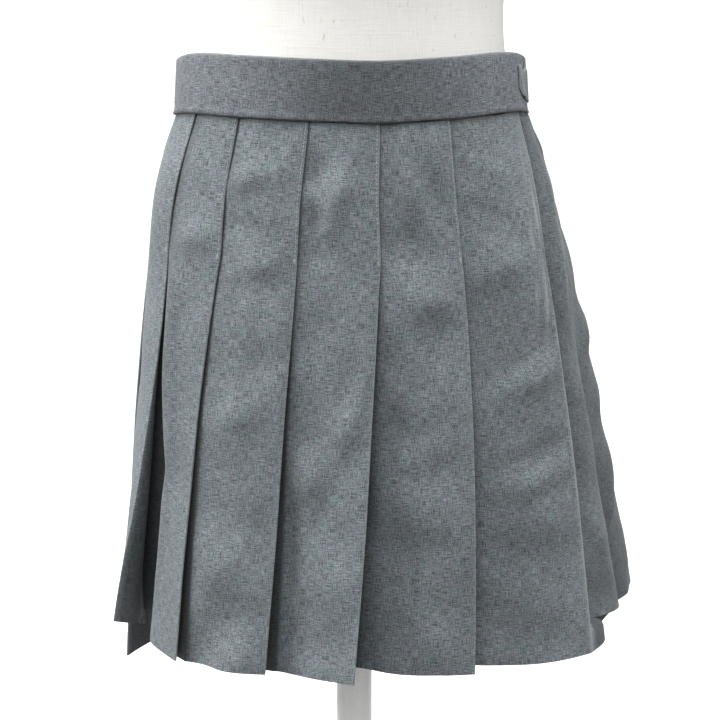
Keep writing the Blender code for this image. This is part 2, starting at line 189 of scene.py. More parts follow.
def lofted_mesh(
    name: str,
    rows: np.ndarray,
    uvs: np.ndarray,
    closed: bool = False,
) -> bpy.types.Mesh:
    """A sheet of quads through a grid of points.

    Args:
        name: the mesh's name.
        rows: points, shaped (rows, columns, 3).
        uvs: texture places in metres, shaped (rows, columns, 2).
        closed: whether the last column joins the first one.

    Returns:
        The mesh, with a UV map named cloth.
    """
    count, columns = rows.shape[:2]
    spans = columns if closed else columns - 1
    first = np.arange(spans)
    after = (first + 1) % columns
    base = np.arange(count - 1)[:, None] * columns
    quads = np.stack(
        [base + first, base + after, base + columns + after, base + columns + first], axis=-1
    ).reshape(-1, 4)
    data = bpy.data.meshes.new(name)
    data.from_pydata(rows.reshape(-1, 3).tolist(), [], quads.tolist())
    layer = data.uv_layers.new(name="cloth")
    layer.data.foreach_set("uv", uvs.reshape(-1, 2)[quads.reshape(-1)].astype(np.float32).ravel())
    return data


def close_ends(
    data: bpy.types.Mesh,
    rings: Iterable[Sequence[int]],
    uvs: np.ndarray | None = None,
) -> None:
    """Close a lofted mesh with faces between its own points, and turn its faces outwards.

    Args:
        data: the mesh, changed in place.
        rings: the point numbers of each new face.
        uvs: texture places of all points, for faces that show the weave.
    """
    mesh = bmesh.new()
    mesh.from_mesh(data)
    mesh.verts.ensure_lookup_table()
    layer = mesh.loops.layers.uv["cloth"]
    for ring in rings:
        face = mesh.faces.new([mesh.verts[k] for k in ring])
        if uvs is not None:
            for corner in face.loops:
                corner[layer].uv = uvs[corner.vert.index]
    bmesh.ops.recalc_face_normals(mesh, faces=mesh.faces)
    mesh.to_mesh(data)
    mesh.free()


def write_masks(data: bpy.types.Mesh, masks: dict[str, object]) -> None:
    """Write the values that a material reads at each point, by the name it reads them under."""
    for name, values in masks.items():
        attribute = data.attributes.new(name, "FLOAT", "POINT")
        attribute.data.foreach_set("value", np.asarray(values, dtype=np.float32).ravel())


def copies_of(
    template: bpy.types.Object,
    name: str,
    places: Sequence[Matrix],
) -> bpy.types.Object:
    """Join a copy of a small piece at each of many places, and remove the piece itself.

    Args:
        template: the piece, modelled at the origin.
        name: the joined object's name.
        places: where each copy goes.

    Returns:
        The joined object.
    """
    source = template.data
    points = np.array([v.co for v in source.vertices])
    faces = [list(polygon.vertices) for polygon in source.polygons]
    verts = []
    polygons = []
    for k, place in enumerate(places):
        turn = np.array(place.to_3x3())
        verts.append(points @ turn.T + np.array(place.translation))
        polygons += [[index + k * len(points) for index in face] for face in faces]
    data = bpy.data.meshes.new(name)
    data.from_pydata(np.concatenate(verts).tolist(), [], polygons)
    bpy.data.objects.remove(template, do_unlink=True)
    return new_object(name, data)


def only(obj: bpy.types.Object) -> None:
    """Make an object the only one selected, and the active one."""
    bpy.ops.object.select_all(action="DESELECT")
    obj.select_set(True)
    bpy.context.view_layer.objects.active = obj


def added(name: str) -> bpy.types.Object:
    """Name the primitive that was just added, and leave it alone selected."""
    obj = bpy.context.active_object
    obj.name = name
    obj.data.name = name
    only(obj)
    return obj


def add_modifier(obj: bpy.types.Object, kind: str, **settings: object) -> None:
    """Add a modifier of a kind, with its settings by name."""
    modifier = obj.modifiers.new(kind.lower(), kind)
    for name, value in settings.items():
        setattr(modifier, name, value)


def apply_modifiers(obj: bpy.types.Object) -> None:
    """Apply all modifiers of an object, in order."""
    only(obj)
    for modifier in list(obj.modifiers):
        bpy.ops.object.modifier_apply(modifier=modifier.name)


def bake_place(obj: bpy.types.Object) -> None:
    """Move an object's place into its mesh."""
    only(obj)
    bpy.ops.object.transform_apply(location=True, rotation=True, scale=True)


def turned_piece(
    name: str,
    profile: Sequence[tuple[float, float]],
    segments: int,
    bevel: float,
) -> bpy.types.Object:
    """Model a turned piece: a disc drawn out ring by ring along its axis, then rounded.

    Args:
        name: the piece's name.
        profile: radius and height of each ring, bottom to top.
        segments: number of sides.
        bevel: width of the rounding on its sharp rings.

    Returns:
        The piece, with its place in its mesh.
    """
    radius, height = profile[0]
    bpy.ops.object.select_all(action="DESELECT")
    bpy.ops.mesh.primitive_circle_add(
        vertices=segments, radius=radius, fill_type="NGON", location=(0.0, 0.0, height)
    )
    obj = added(name)
    bake_place(obj)
    bpy.ops.object.mode_set(mode="EDIT")
    bpy.ops.mesh.select_mode(type="FACE")
    bpy.ops.mesh.select_all(action="SELECT")
    for next_radius, next_height in profile[1:]:
        bpy.ops.mesh.extrude_region_move(
            TRANSFORM_OT_translate={"value": (0.0, 0.0, next_height - height)}
        )
        factor = next_radius / radius
        bpy.ops.transform.resize(value=(factor, factor, 1.0), center_override=(0.0, 0.0, next_height))
        radius, height = next_radius, next_height
    bpy.ops.mesh.select_all(action="SELECT")
    bpy.ops.mesh.normals_make_consistent(inside=False)
    bpy.ops.object.mode_set(mode="OBJECT")
    add_modifier(obj, "BEVEL", width=bevel, segments=3, limit_method="ANGLE", angle_limit=math.radians(25.0))
    apply_modifiers(obj)
    return obj


# ---------------------------------------------------------------------------------------
# Finishes
# ---------------------------------------------------------------------------------------


class Nodes:
    """A short way of writing the nodes of a material or a group."""

    def __init__(self, tree: bpy.types.NodeTree) -> None:
        """Hold the tree to write into."""
        self.tree = tree

    def add(self, kind: str, inputs: dict | None = None, **settings: object) -> bpy.types.Node:
        """Add a node.

        Args:
            kind: the node's type name.
            inputs: values, or sockets to link from, by socket name or number.
            settings: the node's own properties.

        Returns:
            The node.
        """
        node = self.tree.nodes.new(kind)
        for name, value in settings.items():
            setattr(node, name, value)
        self.feed(node, inputs or {})
        return node

    def feed(self, node: bpy.types.Node, inputs: dict) -> None:
        """Set a node's inputs, or link them from other sockets, by name or number."""
        for name, value in inputs.items():
            if isinstance(value, bpy.types.NodeSocket):
                self.tree.links.new(value, node.inputs[name])
            else:
                node.inputs[name].default_value = value

    def maths(self, operation: str, first: object, second: object = 0.0) -> bpy.types.NodeSocket:
        """The result of a calculation on two values."""
        return self.add("ShaderNodeMath", {0: first, 1: second}, operation=operation).outputs[0]

    def noise(
        self, vector: bpy.types.NodeSocket, scale: float, detail: float, rough: float
    ) -> bpy.types.NodeSocket:
        """Cloudy noise between 0 and 1 at a place."""
        inputs = {"Vector": vector, "Scale": scale, "Detail": detail, "Roughness": rough}
        return self.add("ShaderNodeTexNoise", inputs).outputs["Fac"]

    def stretched(
        self, vector: bpy.types.NodeSocket, scale: tuple[float, float, float]
    ) -> bpy.types.NodeSocket:
        """A place with each axis scaled."""
        return self.add("ShaderNodeMapping", {"Vector": vector, "Scale": scale}).outputs["Vector"]

    def blend(self, factor: object, low: object, high: object, mode: str = "MIX") -> bpy.types.NodeSocket:
        """Two colours mixed by a factor."""
        low, high = (c if isinstance(c, bpy.types.NodeSocket) else (*c, 1.0) for c in (low, high))
        inputs = {0: factor, 6: low, 7: high}
        return self.add("ShaderNodeMix", inputs, data_type="RGBA", blend_type=mode).outputs[2]

    def ranged(
        self, value: bpy.types.NodeSocket, span: tuple[float, float], to: tuple[float, float] = (0.0, 1.0)
    ) -> bpy.types.NodeSocket:
        """A value moved from one range to another, and kept inside it."""
        inputs = {"Value": value, "From Min": span[0], "From Max": span[1], "To Min": to[0], "To Max": to[1]}
        return self.add("ShaderNodeMapRange", inputs).outputs["Result"]

    def grey(self, value: bpy.types.NodeSocket) -> bpy.types.NodeSocket:
        """A grey as light as a value."""
        return self.add("ShaderNodeCombineColor", {0: value, 1: value, 2: value}).outputs[0]

    def mask(self, name: str, strength: float) -> bpy.types.NodeSocket:
        """A value written on the mesh's points, times how strongly it counts."""
        value = self.add("ShaderNodeAttribute", attribute_name=name).outputs["Fac"]
        return self.maths("MULTIPLY", value, strength)

    def bump(self, height: bpy.types.NodeSocket, strength: float, distance: float) -> bpy.types.NodeSocket:
        """The surface normal over a height that is this deep, in metres."""
        inputs = {"Height": height, "Strength": strength, "Distance": distance}
        return self.add("ShaderNodeBump", inputs).outputs["Normal"]

    def yarns(
        self, weave: bpy.types.NodeTree, place: bpy.types.NodeSocket, pitch: float, streak: float
    ) -> bpy.types.Node:
        """The crossing yarns at a place on the cloth."""
        inputs = {"Vector": place, "Pitch": pitch, "Streak": streak}
        return self.add("ShaderNodeGroup", inputs, node_tree=weave)


def woven_group() -> bpy.types.NodeTree:
    """The shared effect of yarns that cross at right angles.

    Inputs: the place on the cloth in metres, the yarns' pitch per metre and the length of their
    streaks per metre. Outputs: warp and weft, each yarn's own shade from 0 to 1, slub, where a
    thick yarn lies, and height for a bump.

    Returns:
        The group.
    """
    tree = bpy.data.node_groups.new("woven_yarns", "ShaderNodeTree")
    inputs = {"Vector": "NodeSocketVector", "Pitch": "NodeSocketFloat", "Streak": "NodeSocketFloat"}
    for name, kind in inputs.items():
        tree.interface.new_socket(name=name, in_out="INPUT", socket_type=kind)
    for name in ("Warp", "Weft", "Slub", "Height"):
        tree.interface.new_socket(name=name, in_out="OUTPUT", socket_type="NodeSocketFloat")
    n = Nodes(tree)
    source = n.add("NodeGroupInput")
    parts = n.add("ShaderNodeSeparateXYZ", {0: source.outputs["Vector"]})
    u, v = parts.outputs["X"], parts.outputs["Y"]
    pitch, streak = source.outputs["Pitch"], source.outputs["Streak"]
    shades, slubs, waves = [], [], []
    for across, along in ((u, v), (v, u)):
        thread = n.maths("MULTIPLY", across, pitch)
        run = n.maths("MULTIPLY", along, streak)
        yarn = n.add("ShaderNodeCombineXYZ", {"X": thread, "Y": run}).outputs[0]
        shades.append(n.noise(yarn, 1.0, 3.0, 0.62))
        thick = {"X": n.maths("MULTIPLY", thread, 0.45), "Y": n.maths("MULTIPLY", run, 0.35), "Z": 7.3}
        thick_yarn = n.add("ShaderNodeCombineXYZ", thick).outputs[0]
        slubs.append(n.ranged(n.noise(thick_yarn, 1.0, 2.0, 0.5), (0.60, 0.76)))
        waves.append(n.maths("SINE", n.maths("MULTIPLY", thread, math.pi)))
    slub = n.maths("MAXIMUM", *slubs)
    weave = n.maths("MULTIPLY", *waves)
    height = n.maths("ADD", n.maths("ADD", shades[0], shades[1]), n.maths("MULTIPLY", weave, 0.18))
    height = n.maths("ADD", height, n.maths("MULTIPLY", slub, 0.5))
    target = n.add("NodeGroupOutput")
    for name, value in (("Warp", shades[0]), ("Weft", shades[1]), ("Slub", slub), ("Height", height)):
        tree.links.new(value, target.inputs[name])
    return tree


Colour = tuple[float, float, float]


def shader_of(material: bpy.types.Material) -> bpy.types.Node:
    """The material's own Principled shader."""
    return material.node_tree.nodes["Principled BSDF"]


def new_material(name: str) -> tuple[bpy.types.Material, Nodes]:
    """An empty node material and its writer."""
    material = bpy.data.materials.new(name)
    material.use_nodes = True
    return material, Nodes(material.node_tree)


@dataclass(frozen=True)
class Suiting:
    """Grey melange worsted: light and dark fibres in every yarn, with soft slubs.

    Pitch, streak and the scales of fibres, tints and clouds are numbers of repeats per metre.
    """

    name: str
    dark: Colour = (0.040, 0.046, 0.051)
    light: Colour = (0.252, 0.284, 0.302)
    green: Colour = (0.93, 1.04, 1.00)
    mauve: Colour = (1.03, 0.96, 1.06)
    # edge is the pale colour at the folds, partly wear and partly a painted highlight; shadow is the colour
    # of painted shade.
    edge: Colour = (0.400, 0.430, 0.435)
    shadow: Colour = (0.021, 0.022, 0.022)
    contrast: float = 0.082
    pitch: float = 2200.0
    streak: float = 150.0
    fibre: float = 1500.0
    warp_share: float = 0.36
    weft_share: float = 0.40
    fibre_share: float = 0.24
    slub_share: float = 0.10
    tint_scale: float = 160.0
    cloud_scale: float = 14.0
    cloud_range: tuple[float, float] = (0.86, 1.14)
    edge_share: float = 0.70
    crevice_share: float = 0.80
    bump: float = 0.30
    bump_depth: float = 0.0002
    roughness: float = 0.86
    sheen: float = 0.12

    def material(self, weave: bpy.types.NodeTree) -> bpy.types.Material:
        """Build the material.

        Args:
            weave: the shared group of crossing yarns.

        Returns:
            The material. It reads the UV map named cloth, and the attributes fold_wear_and_highlight,
            where the folds are painted pale, partly wear and partly a painted highlight, and
            painted_shade, where painted shade darkens it, as where it runs in under the layer above.
        """
        material, n = new_material(self.name)
        place = n.add("ShaderNodeUVMap", uv_map="cloth").outputs["UV"]
        yarns = n.yarns(weave, place, self.pitch, self.streak)
        warp = n.maths("MULTIPLY", yarns.outputs["Warp"], self.warp_share)
        weft = n.maths("MULTIPLY", yarns.outputs["Weft"], self.weft_share)
        fibres = n.noise(n.stretched(place, (1.0, 0.8, 1.0)), self.fibre, 1.0, 0.5)
        melange = n.maths("ADD", n.maths("ADD", warp, weft), n.maths("MULTIPLY", fibres, self.fibre_share))
        shade = n.ranged(melange, (0.5 - self.contrast, 0.5 + self.contrast))
        colour = n.blend(shade, self.dark, self.light)
        tint = n.noise(place, self.tint_scale, 3.0, 0.65)
        colour = n.blend(n.ranged(tint, (0.50, 0.66)), colour, self.green, "MULTIPLY")
        colour = n.blend(n.ranged(tint, (0.50, 0.34)), colour, self.mauve, "MULTIPLY")
        colour = n.blend(n.maths("MULTIPLY", yarns.outputs["Slub"], self.slub_share), colour, self.light)
        # Painted light and shade: soft cloudy blotches that lighten and darken the cloth in place of the
        # light on small wrinkles.
        clouds = n.ranged(n.noise(place, self.cloud_scale, 2.0, 0.5), (0.3, 0.7), self.cloud_range)
        colour = n.blend(1.0, colour, n.grey(clouds), "MULTIPLY")
        # Folds painted pale, partly wear and partly a painted highlight.
        colour = n.blend(n.mask("fold_wear_and_highlight", self.edge_share), colour, self.edge)
        # Painted shade darkens the cloth under other layers, beside the folds and under the band.
        colour = n.blend(n.mask("painted_shade", self.crevice_share), colour, self.shadow)
        looks = {
            "Base Color": colour,
            "Normal": n.bump(yarns.outputs["Height"], self.bump, self.bump_depth),
            "Roughness": self.roughness,
            "Sheen Weight": self.sheen,
            "Sheen Roughness": 0.5,
            "Specular IOR Level": 0.25,
        }
        n.feed(shader_of(material), looks)
        return material


@dataclass(frozen=True)
class SlubLinen:
    """Unbleached off-white linen with thick yarns and a few beige flecks."""

    name: str
    ground: Colour = (0.822, 0.815, 0.788)
    shadow: Colour = (0.730, 0.710, 0.655)
    fleck: Colour = (0.450, 0.390, 0.300)
    pitch: float = 1050.0
    streak: float = 42.0
    slub_share: float = 0.34
    fleck_scale: float = 240.0
    fleck_share: float = 0.60
    bump: float = 0.4
    bump_depth: float = 0.0003
    roughness: float = 0.9
    sheen: float = 0.35

    def material(self, weave: bpy.types.NodeTree) -> bpy.types.Material:
        """Build the material from the shared group of crossing yarns."""
        material, n = new_material(self.name)
        place = n.add("ShaderNodeUVMap", uv_map="cloth").outputs["UV"]
        yarns = n.yarns(weave, place, self.pitch, self.streak)
        mixed = n.maths("MULTIPLY", n.maths("ADD", yarns.outputs["Warp"], yarns.outputs["Weft"]), 0.5)
        colour = n.blend(n.ranged(mixed, (0.26, 0.58)), self.shadow, self.ground)
        colour = n.blend(n.maths("MULTIPLY", yarns.outputs["Slub"], self.slub_share), colour, self.shadow)
        flecks = n.noise(n.stretched(place, (1.0, 0.45, 1.0)), self.fleck_scale, 2.0, 0.55)
        colour = n.blend(n.ranged(flecks, (0.655, 0.77), (0.0, self.fleck_share)), colour, self.fleck)
        looks = {
            "Base Color": colour,
            "Normal": n.bump(yarns.outputs["Height"], self.bump, self.bump_depth),
            "Roughness": self.roughness,
            "Sheen Weight": self.sheen,
        }
        n.feed(shader_of(material), looks)
        return material


@dataclass(frozen=True)
class Grain:
    """A hard finish on object coordinates: lacquered wood, painted or bare metal, thread."""

    name: str
    low: Colour
    high: Colour
    scale: tuple[float, float, float]
    roughness: tuple[float, float]
    bump: float
    metallic: float = 0.0
    coat: float = 0.0

    def material(self) -> bpy.types.Material:
        """Build the material, whose grain runs where its scale is smallest."""
        material, n = new_material(self.name)
        place = n.add("ShaderNodeTexCoord").outputs["Object"]
        grain = n.noise(n.stretched(place, self.scale), 1.0, 4.0, 0.6)
        looks = {
            "Base Color": n.blend(n.ranged(grain, (0.32, 0.68)), self.low, self.high),
            "Roughness": n.ranged(n.noise(place, 60.0, 3.0, 0.5), (0.3, 0.7), self.roughness),
            "Normal": n.bump(grain, self.bump, 0.0002),
            "Metallic": self.metallic,
            "Coat Weight": self.coat,
            "Coat Roughness": 0.15,
        }
        n.feed(shader_of(material), looks)
        return material


class Wardrobe:
    """All finishes, each built once."""

    def __init__(self) -> None:
        """Build the shared group and the materials."""
        weave = woven_group()
        band = Suiting("suiting_band", dark=(0.037, 0.041, 0.046), light=(0.252, 0.274, 0.298))
        tape = Suiting("zip_tape_weave", dark=(0.03, 0.031, 0.034), light=(0.09, 0.094, 0.10), pitch=1500.0)
        thread = Grain(
            "grey_thread",
            low=(0.27, 0.29, 0.30),
            high=(0.46, 0.48, 0.49),
            scale=(900.0, 900.0, 900.0),
            roughness=(0.5, 0.7),
            bump=0.2,
        )
        wood = Grain(
            "lacquered_beech",
            low=(0.40, 0.26, 0.14),
            high=(0.62, 0.45, 0.28),
            scale=(90.0, 12.0, 90.0),
            roughness=(0.28, 0.42),
            bump=0.15,
            coat=0.4,
        )
        paint = Grain(
            "white_powder_coat",
            low=(0.78, 0.78, 0.77),
            high=(0.84, 0.84, 0.83),
            scale=(700.0, 700.0, 700.0),
            roughness=(0.30, 0.42),
            bump=0.12,
        )
        metal = Grain(
            "zip_metal",
            low=(0.30, 0.31, 0.32),
            high=(0.45, 0.46, 0.47),
            scale=(400.0, 400.0, 400.0),
            roughness=(0.25, 0.4),
            bump=0.05,
            metallic=1.0,
        )
        self.suiting = Suiting("suiting_panels").material(weave)
        self.band = band.material(weave)
        self.tape = tape.material(weave)
        self.linen = SlubLinen("slub_linen").material(weave)
        self.thread, self.wood, self.paint, self.metal = (g.material() for g in (thread, wood, paint, metal))


# ---------------------------------------------------------------------------------------
# The pleated tube
# ---------------------------------------------------------------------------------------


@dataclass(frozen=True)
class Ring:
    """The inner ring of the skirt at a share of its length."""

    share: float
    centre_x: float
    centre_y: float
    half_width: float
    half_depth: float


@dataclass(frozen=True)
class WaistPoint:
    """Rise of the waist seam over the front, at an azimuth in degrees."""

    azimuth: float
    rise: float


@dataclass(frozen=True)
class Fold:
    """One outer fold of the pleats, and the inner fold behind it.

    seam, release and hem are its azimuths in degrees at those places, and swing is how soon it
    moves from the second to the third. stand_off is how far it springs out at the hem, and
    growth how late. lift and inner_lift raise the hem at the outer and the inner fold, and
    underlap is the depth of the return. bow bends the return round, dip draws in the panel that
    ends at this fold, roundness curves that panel, and flick turns the return out at the hem.
    """

    seam: float
    release: float
    hem: float
    stand_off: float
    growth: float
    lift: float
    inner_lift: float
    underlap: float
    swing: float
    bow: float
    dip: float
    roundness: float
    flick: float = 0.0


@dataclass(frozen=True)
class Crease:
    """A soft ridge or trough on a panel, from one place to another.

    A place is a share of the shown panel, from the fold before it to its own fold, and a share
    of the skirt's length. height is above 0 for a ridge and below 0 for a trough. crease_tone is
    how pale the line is painted, partly wear and partly a painted highlight, and below 0 how deep
    the painted shade over the trough is.
    """

    panel: int
    start: tuple[float, float]
    end: tuple[float, float]
    width: float
    height: float
    crease_tone: float = 0.0


RINGS = (
    Ring(0.00, -0.002, 0.000, 0.1155, 0.0900),
    Ring(0.14, -0.0012, 0.004, 0.1322, 0.0985),
    Ring(0.28, 0.0022, 0.007, 0.1408, 0.1050),
    Ring(0.53, 0.0050, 0.012, 0.1500, 0.1120),
    Ring(0.78, 0.0075, 0.014, 0.1557, 0.1140),
    Ring(1.00, 0.009, 0.015, 0.1585, 0.1150),
)
WAIST_LINE = (
    WaistPoint(135.0, -0.0050),
    WaistPoint(180.0, -0.0005),
    WaistPoint(205.0, 0.0045),
    WaistPoint(230.0, 0.0038),
    WaistPoint(255.0, 0.0024),
    WaistPoint(281.0, 0.0012),
    WaistPoint(308.0, 0.0030),
    WaistPoint(338.0, 0.0052),
    WaistPoint(360.0, 0.0000),
    WaistPoint(405.0, -0.0050),
    WaistPoint(450.0, -0.0090),
    WaistPoint(495.0, -0.0050),
    WaistPoint(540.0, -0.0005),
)
# Each row: seam, release, hem, stand_off, growth, lift, inner_lift, underlap, swing, bow, dip,
# roundness and, where it has one, flick.
FOLDS = (
    Fold(177.5, 177.5, 175.0, 0.013, 0.80, -0.034, -0.030, 0.050, 1.0, 0.0, 0.000, 0.9),
    Fold(207.7, 205.0, 186.7, 0.019, 1.40, 0.003, 0.003, 0.026, 2.5, 6.0, 0.000, 0.9),
    Fold(226.9, 225.0, 217.4, 0.017, 1.15, 0.000, -0.003, 0.030, 0.7, 0.0, 0.021, 2.5),
    Fold(253.4, 249.6, 242.0, 0.018, 1.15, 0.000, -0.003, 0.028, 0.9, 0.0, -0.010, 0.9),
    Fold(281.2, 278.2, 266.5, 0.032, 1.15, 0.000, 0.000, 0.026, 0.8, 0.0, -0.005, 1.2),
    Fold(307.6, 305.0, 299.0, 0.018, 1.15, 0.000, 0.000, 0.028, 1.1, 0.0, 0.003, 0.9),
    Fold(339.6, 334.4, 331.0, 0.021, 1.15, 0.001, 0.021, 0.030, 0.8, 12.0, 0.004, 1.3, 4.5),
    Fold(353.8, 346.8, 359.0, 0.018, 2.20, 0.010, -0.006, 0.026, 2.4, 0.0, 0.006, 1.6),
    Fold(379.0, 375.0, 372.2, 0.037, 0.95, 0.014, -0.022, 0.030, 1.0, 0.0, 0.010, 0.9),
    Fold(403.0, 400.0, 390.9, 0.022, 1.15, -0.010, -0.024, 0.030, 1.0, 0.0, 0.003, 0.9),
    Fold(430.0, 426.0, 414.5, 0.018, 1.15, -0.022, -0.028, 0.030, 0.9, 0.0, 0.002, 0.9),
    Fold(457.0, 454.0, 443.3, 0.024, 1.15, -0.030, -0.032, 0.028, 1.1, 0.0, 0.003, 0.9),
    Fold(483.5, 480.5, 475.0, 0.016, 1.15, -0.035, -0.035, 0.030, 0.8, 0.0, 0.003, 0.9),
    Fold(510.5, 507.5, 505.0, 0.021, 1.15, -0.036, -0.035, 0.028, 1.0, 0.0, 0.003, 0.9),
)
CREASES = (
    Crease(3, (0.30, 0.03), (0.62, 0.16), 0.0075, 0.0007),
    Crease(3, (0.25, 0.55), (0.80, 0.50), 0.0090, 0.0007),
    Crease(4, (0.62, 0.06), (0.34, 0.20), 0.0070, 0.0009),
    Crease(4, (0.86, 0.05), (0.60, 0.17), 0.0065, -0.0006),
    Crease(4, (0.98, 0.42), (0.66, 0.58), 0.0080, 0.0016),
    Crease(4, (0.80, 0.44), (0.50, 0.60), 0.0100, -0.0012),
    Crease(5, (0.08, 0.02), (0.55, 0.17), 0.0080, 0.0009),
    Crease(5, (0.45, 0.03), (0.92, 0.20), 0.0070, -0.0007),
    Crease(5, (0.15, 0.62), (0.85, 0.57), 0.0110, 0.0007),
    Crease(6, (0.08, 0.05), (0.50, 0.12), 0.0070, 0.0008),
    Crease(6, (0.30, 0.46), (0.95, 0.40), 0.0075, -0.0013),
    Crease(6, (0.28, 0.50), (0.95, 0.45), 0.0080, 0.0012),
    Crease(6, (0.30, 0.64), (0.98, 0.59), 0.0075, -0.0012),
    Crease(6, (0.25, 0.68), (0.95, 0.64), 0.0080, 0.0010),
    Crease(6, (0.93, 0.02), (0.84, 0.46), 0.0022, 0.0006, 0.9),
    Crease(6, (0.86, 0.01), (0.74, 0.40), 0.0022, 0.0004, 0.5),
    Crease(7, (0.55, 0.02), (0.50, 0.36), 0.0022, 0.0006, 0.9),
    Crease(8, (0.14, 0.20), (0.16, 0.46), 0.0022, 0.0006, 0.9),
    Crease(8, (0.10, 0.060), (0.70, 0.066), 0.0170, 0.0017),
    Crease(4, (0.12, 0.085), (0.22, 0.082), 0.0080, -0.0030, -0.55),
    Crease(4, (0.10, 0.172), (0.24, 0.168), 0.0070, -0.0030, -0.50),
    Crease(4, (0.05, 0.215), (0.30, 0.235), 0.0075, -0.0014),
    Crease(4, (0.45, 0.10), (0.75, 0.13), 0.0090, 0.0012),
    Crease(3, (0.10, 0.12), (0.55, 0.09), 0.0080, 0.0014),
    Crease(3, (0.12, 0.185), (0.60, 0.20), 0.0085, -0.0013),
    Crease(3, (0.35, 0.27), (0.85, 0.25), 0.0090, 0.0013),
    Crease(5, (0.10, 0.21), (0.60, 0.24), 0.0100, -0.0014),
    Crease(5, (0.30, 0.30), (0.85, 0.33), 0.0110, 0.0014),
    Crease(6, (0.10, 0.17), (0.60, 0.20), 0.0085, -0.0013),
    Crease(6, (0.15, 0.28), (0.75, 0.25), 0.0100, 0.0013),
    Crease(2, (0.15, 0.14), (0.80, 0.17), 0.0085, -0.0012),
    Crease(2, (0.20, 0.23), (0.80, 0.21), 0.0090, 0.0012),
    Crease(2, (0.22, 0.27), (0.22, 0.62), 0.0090, 0.0030),
    Crease(2, (0.45, 0.50), (0.40, 0.98), 0.0050, 0.0010),
    Crease(2, (0.20, 0.05), (0.70, 0.13), 0.0070, 0.0007),
    Crease(8, (0.20, 0.45), (0.85, 0.38), 0.0080, 0.0009),
    Crease(9, (0.20, 0.05), (0.60, 0.18), 0.0080, 0.0008),
    Crease(9, (0.85, 0.44), (0.45, 0.60), 0.0090, 0.0012),
    Crease(10, (0.15, 0.62), (0.85, 0.56), 0.0100, -0.0009),
    Crease(11, (0.60, 0.04), (0.30, 0.19), 0.0075, 0.0009),
    Crease(11, (0.95, 0.40), (0.60, 0.57), 0.0090, 0.0013),
    Crease(12, (0.20, 0.03), (0.62, 0.17), 0.0080, 0.0008),
    Crease(12, (0.25, 0.52), (0.90, 0.47), 0.0090, -0.0009),
    Crease(13, (0.30, 0.64), (0.90, 0.58), 0.0095, 0.0009),
    Crease(14, (0.25, 0.06), (0.66, 0.16), 0.0075, 0.0008),
)


@dataclass(frozen=True)
class PleatLine:
    """One outer fold and its inner fold, as they lie at one share of the length."""

    fold: Fold
    outer: float
    inner: float
    stand_off: float
    bow: float
    dip: float


@dataclass
class Section:
    """The cloth's middle line at one share of the length."""

    plan: np.ndarray
    heights: np.ndarray
    along: np.ndarray
    fold_wear_and_highlight: np.ndarray
    painted_shade: np.ndarray
    fold_columns: list[int]


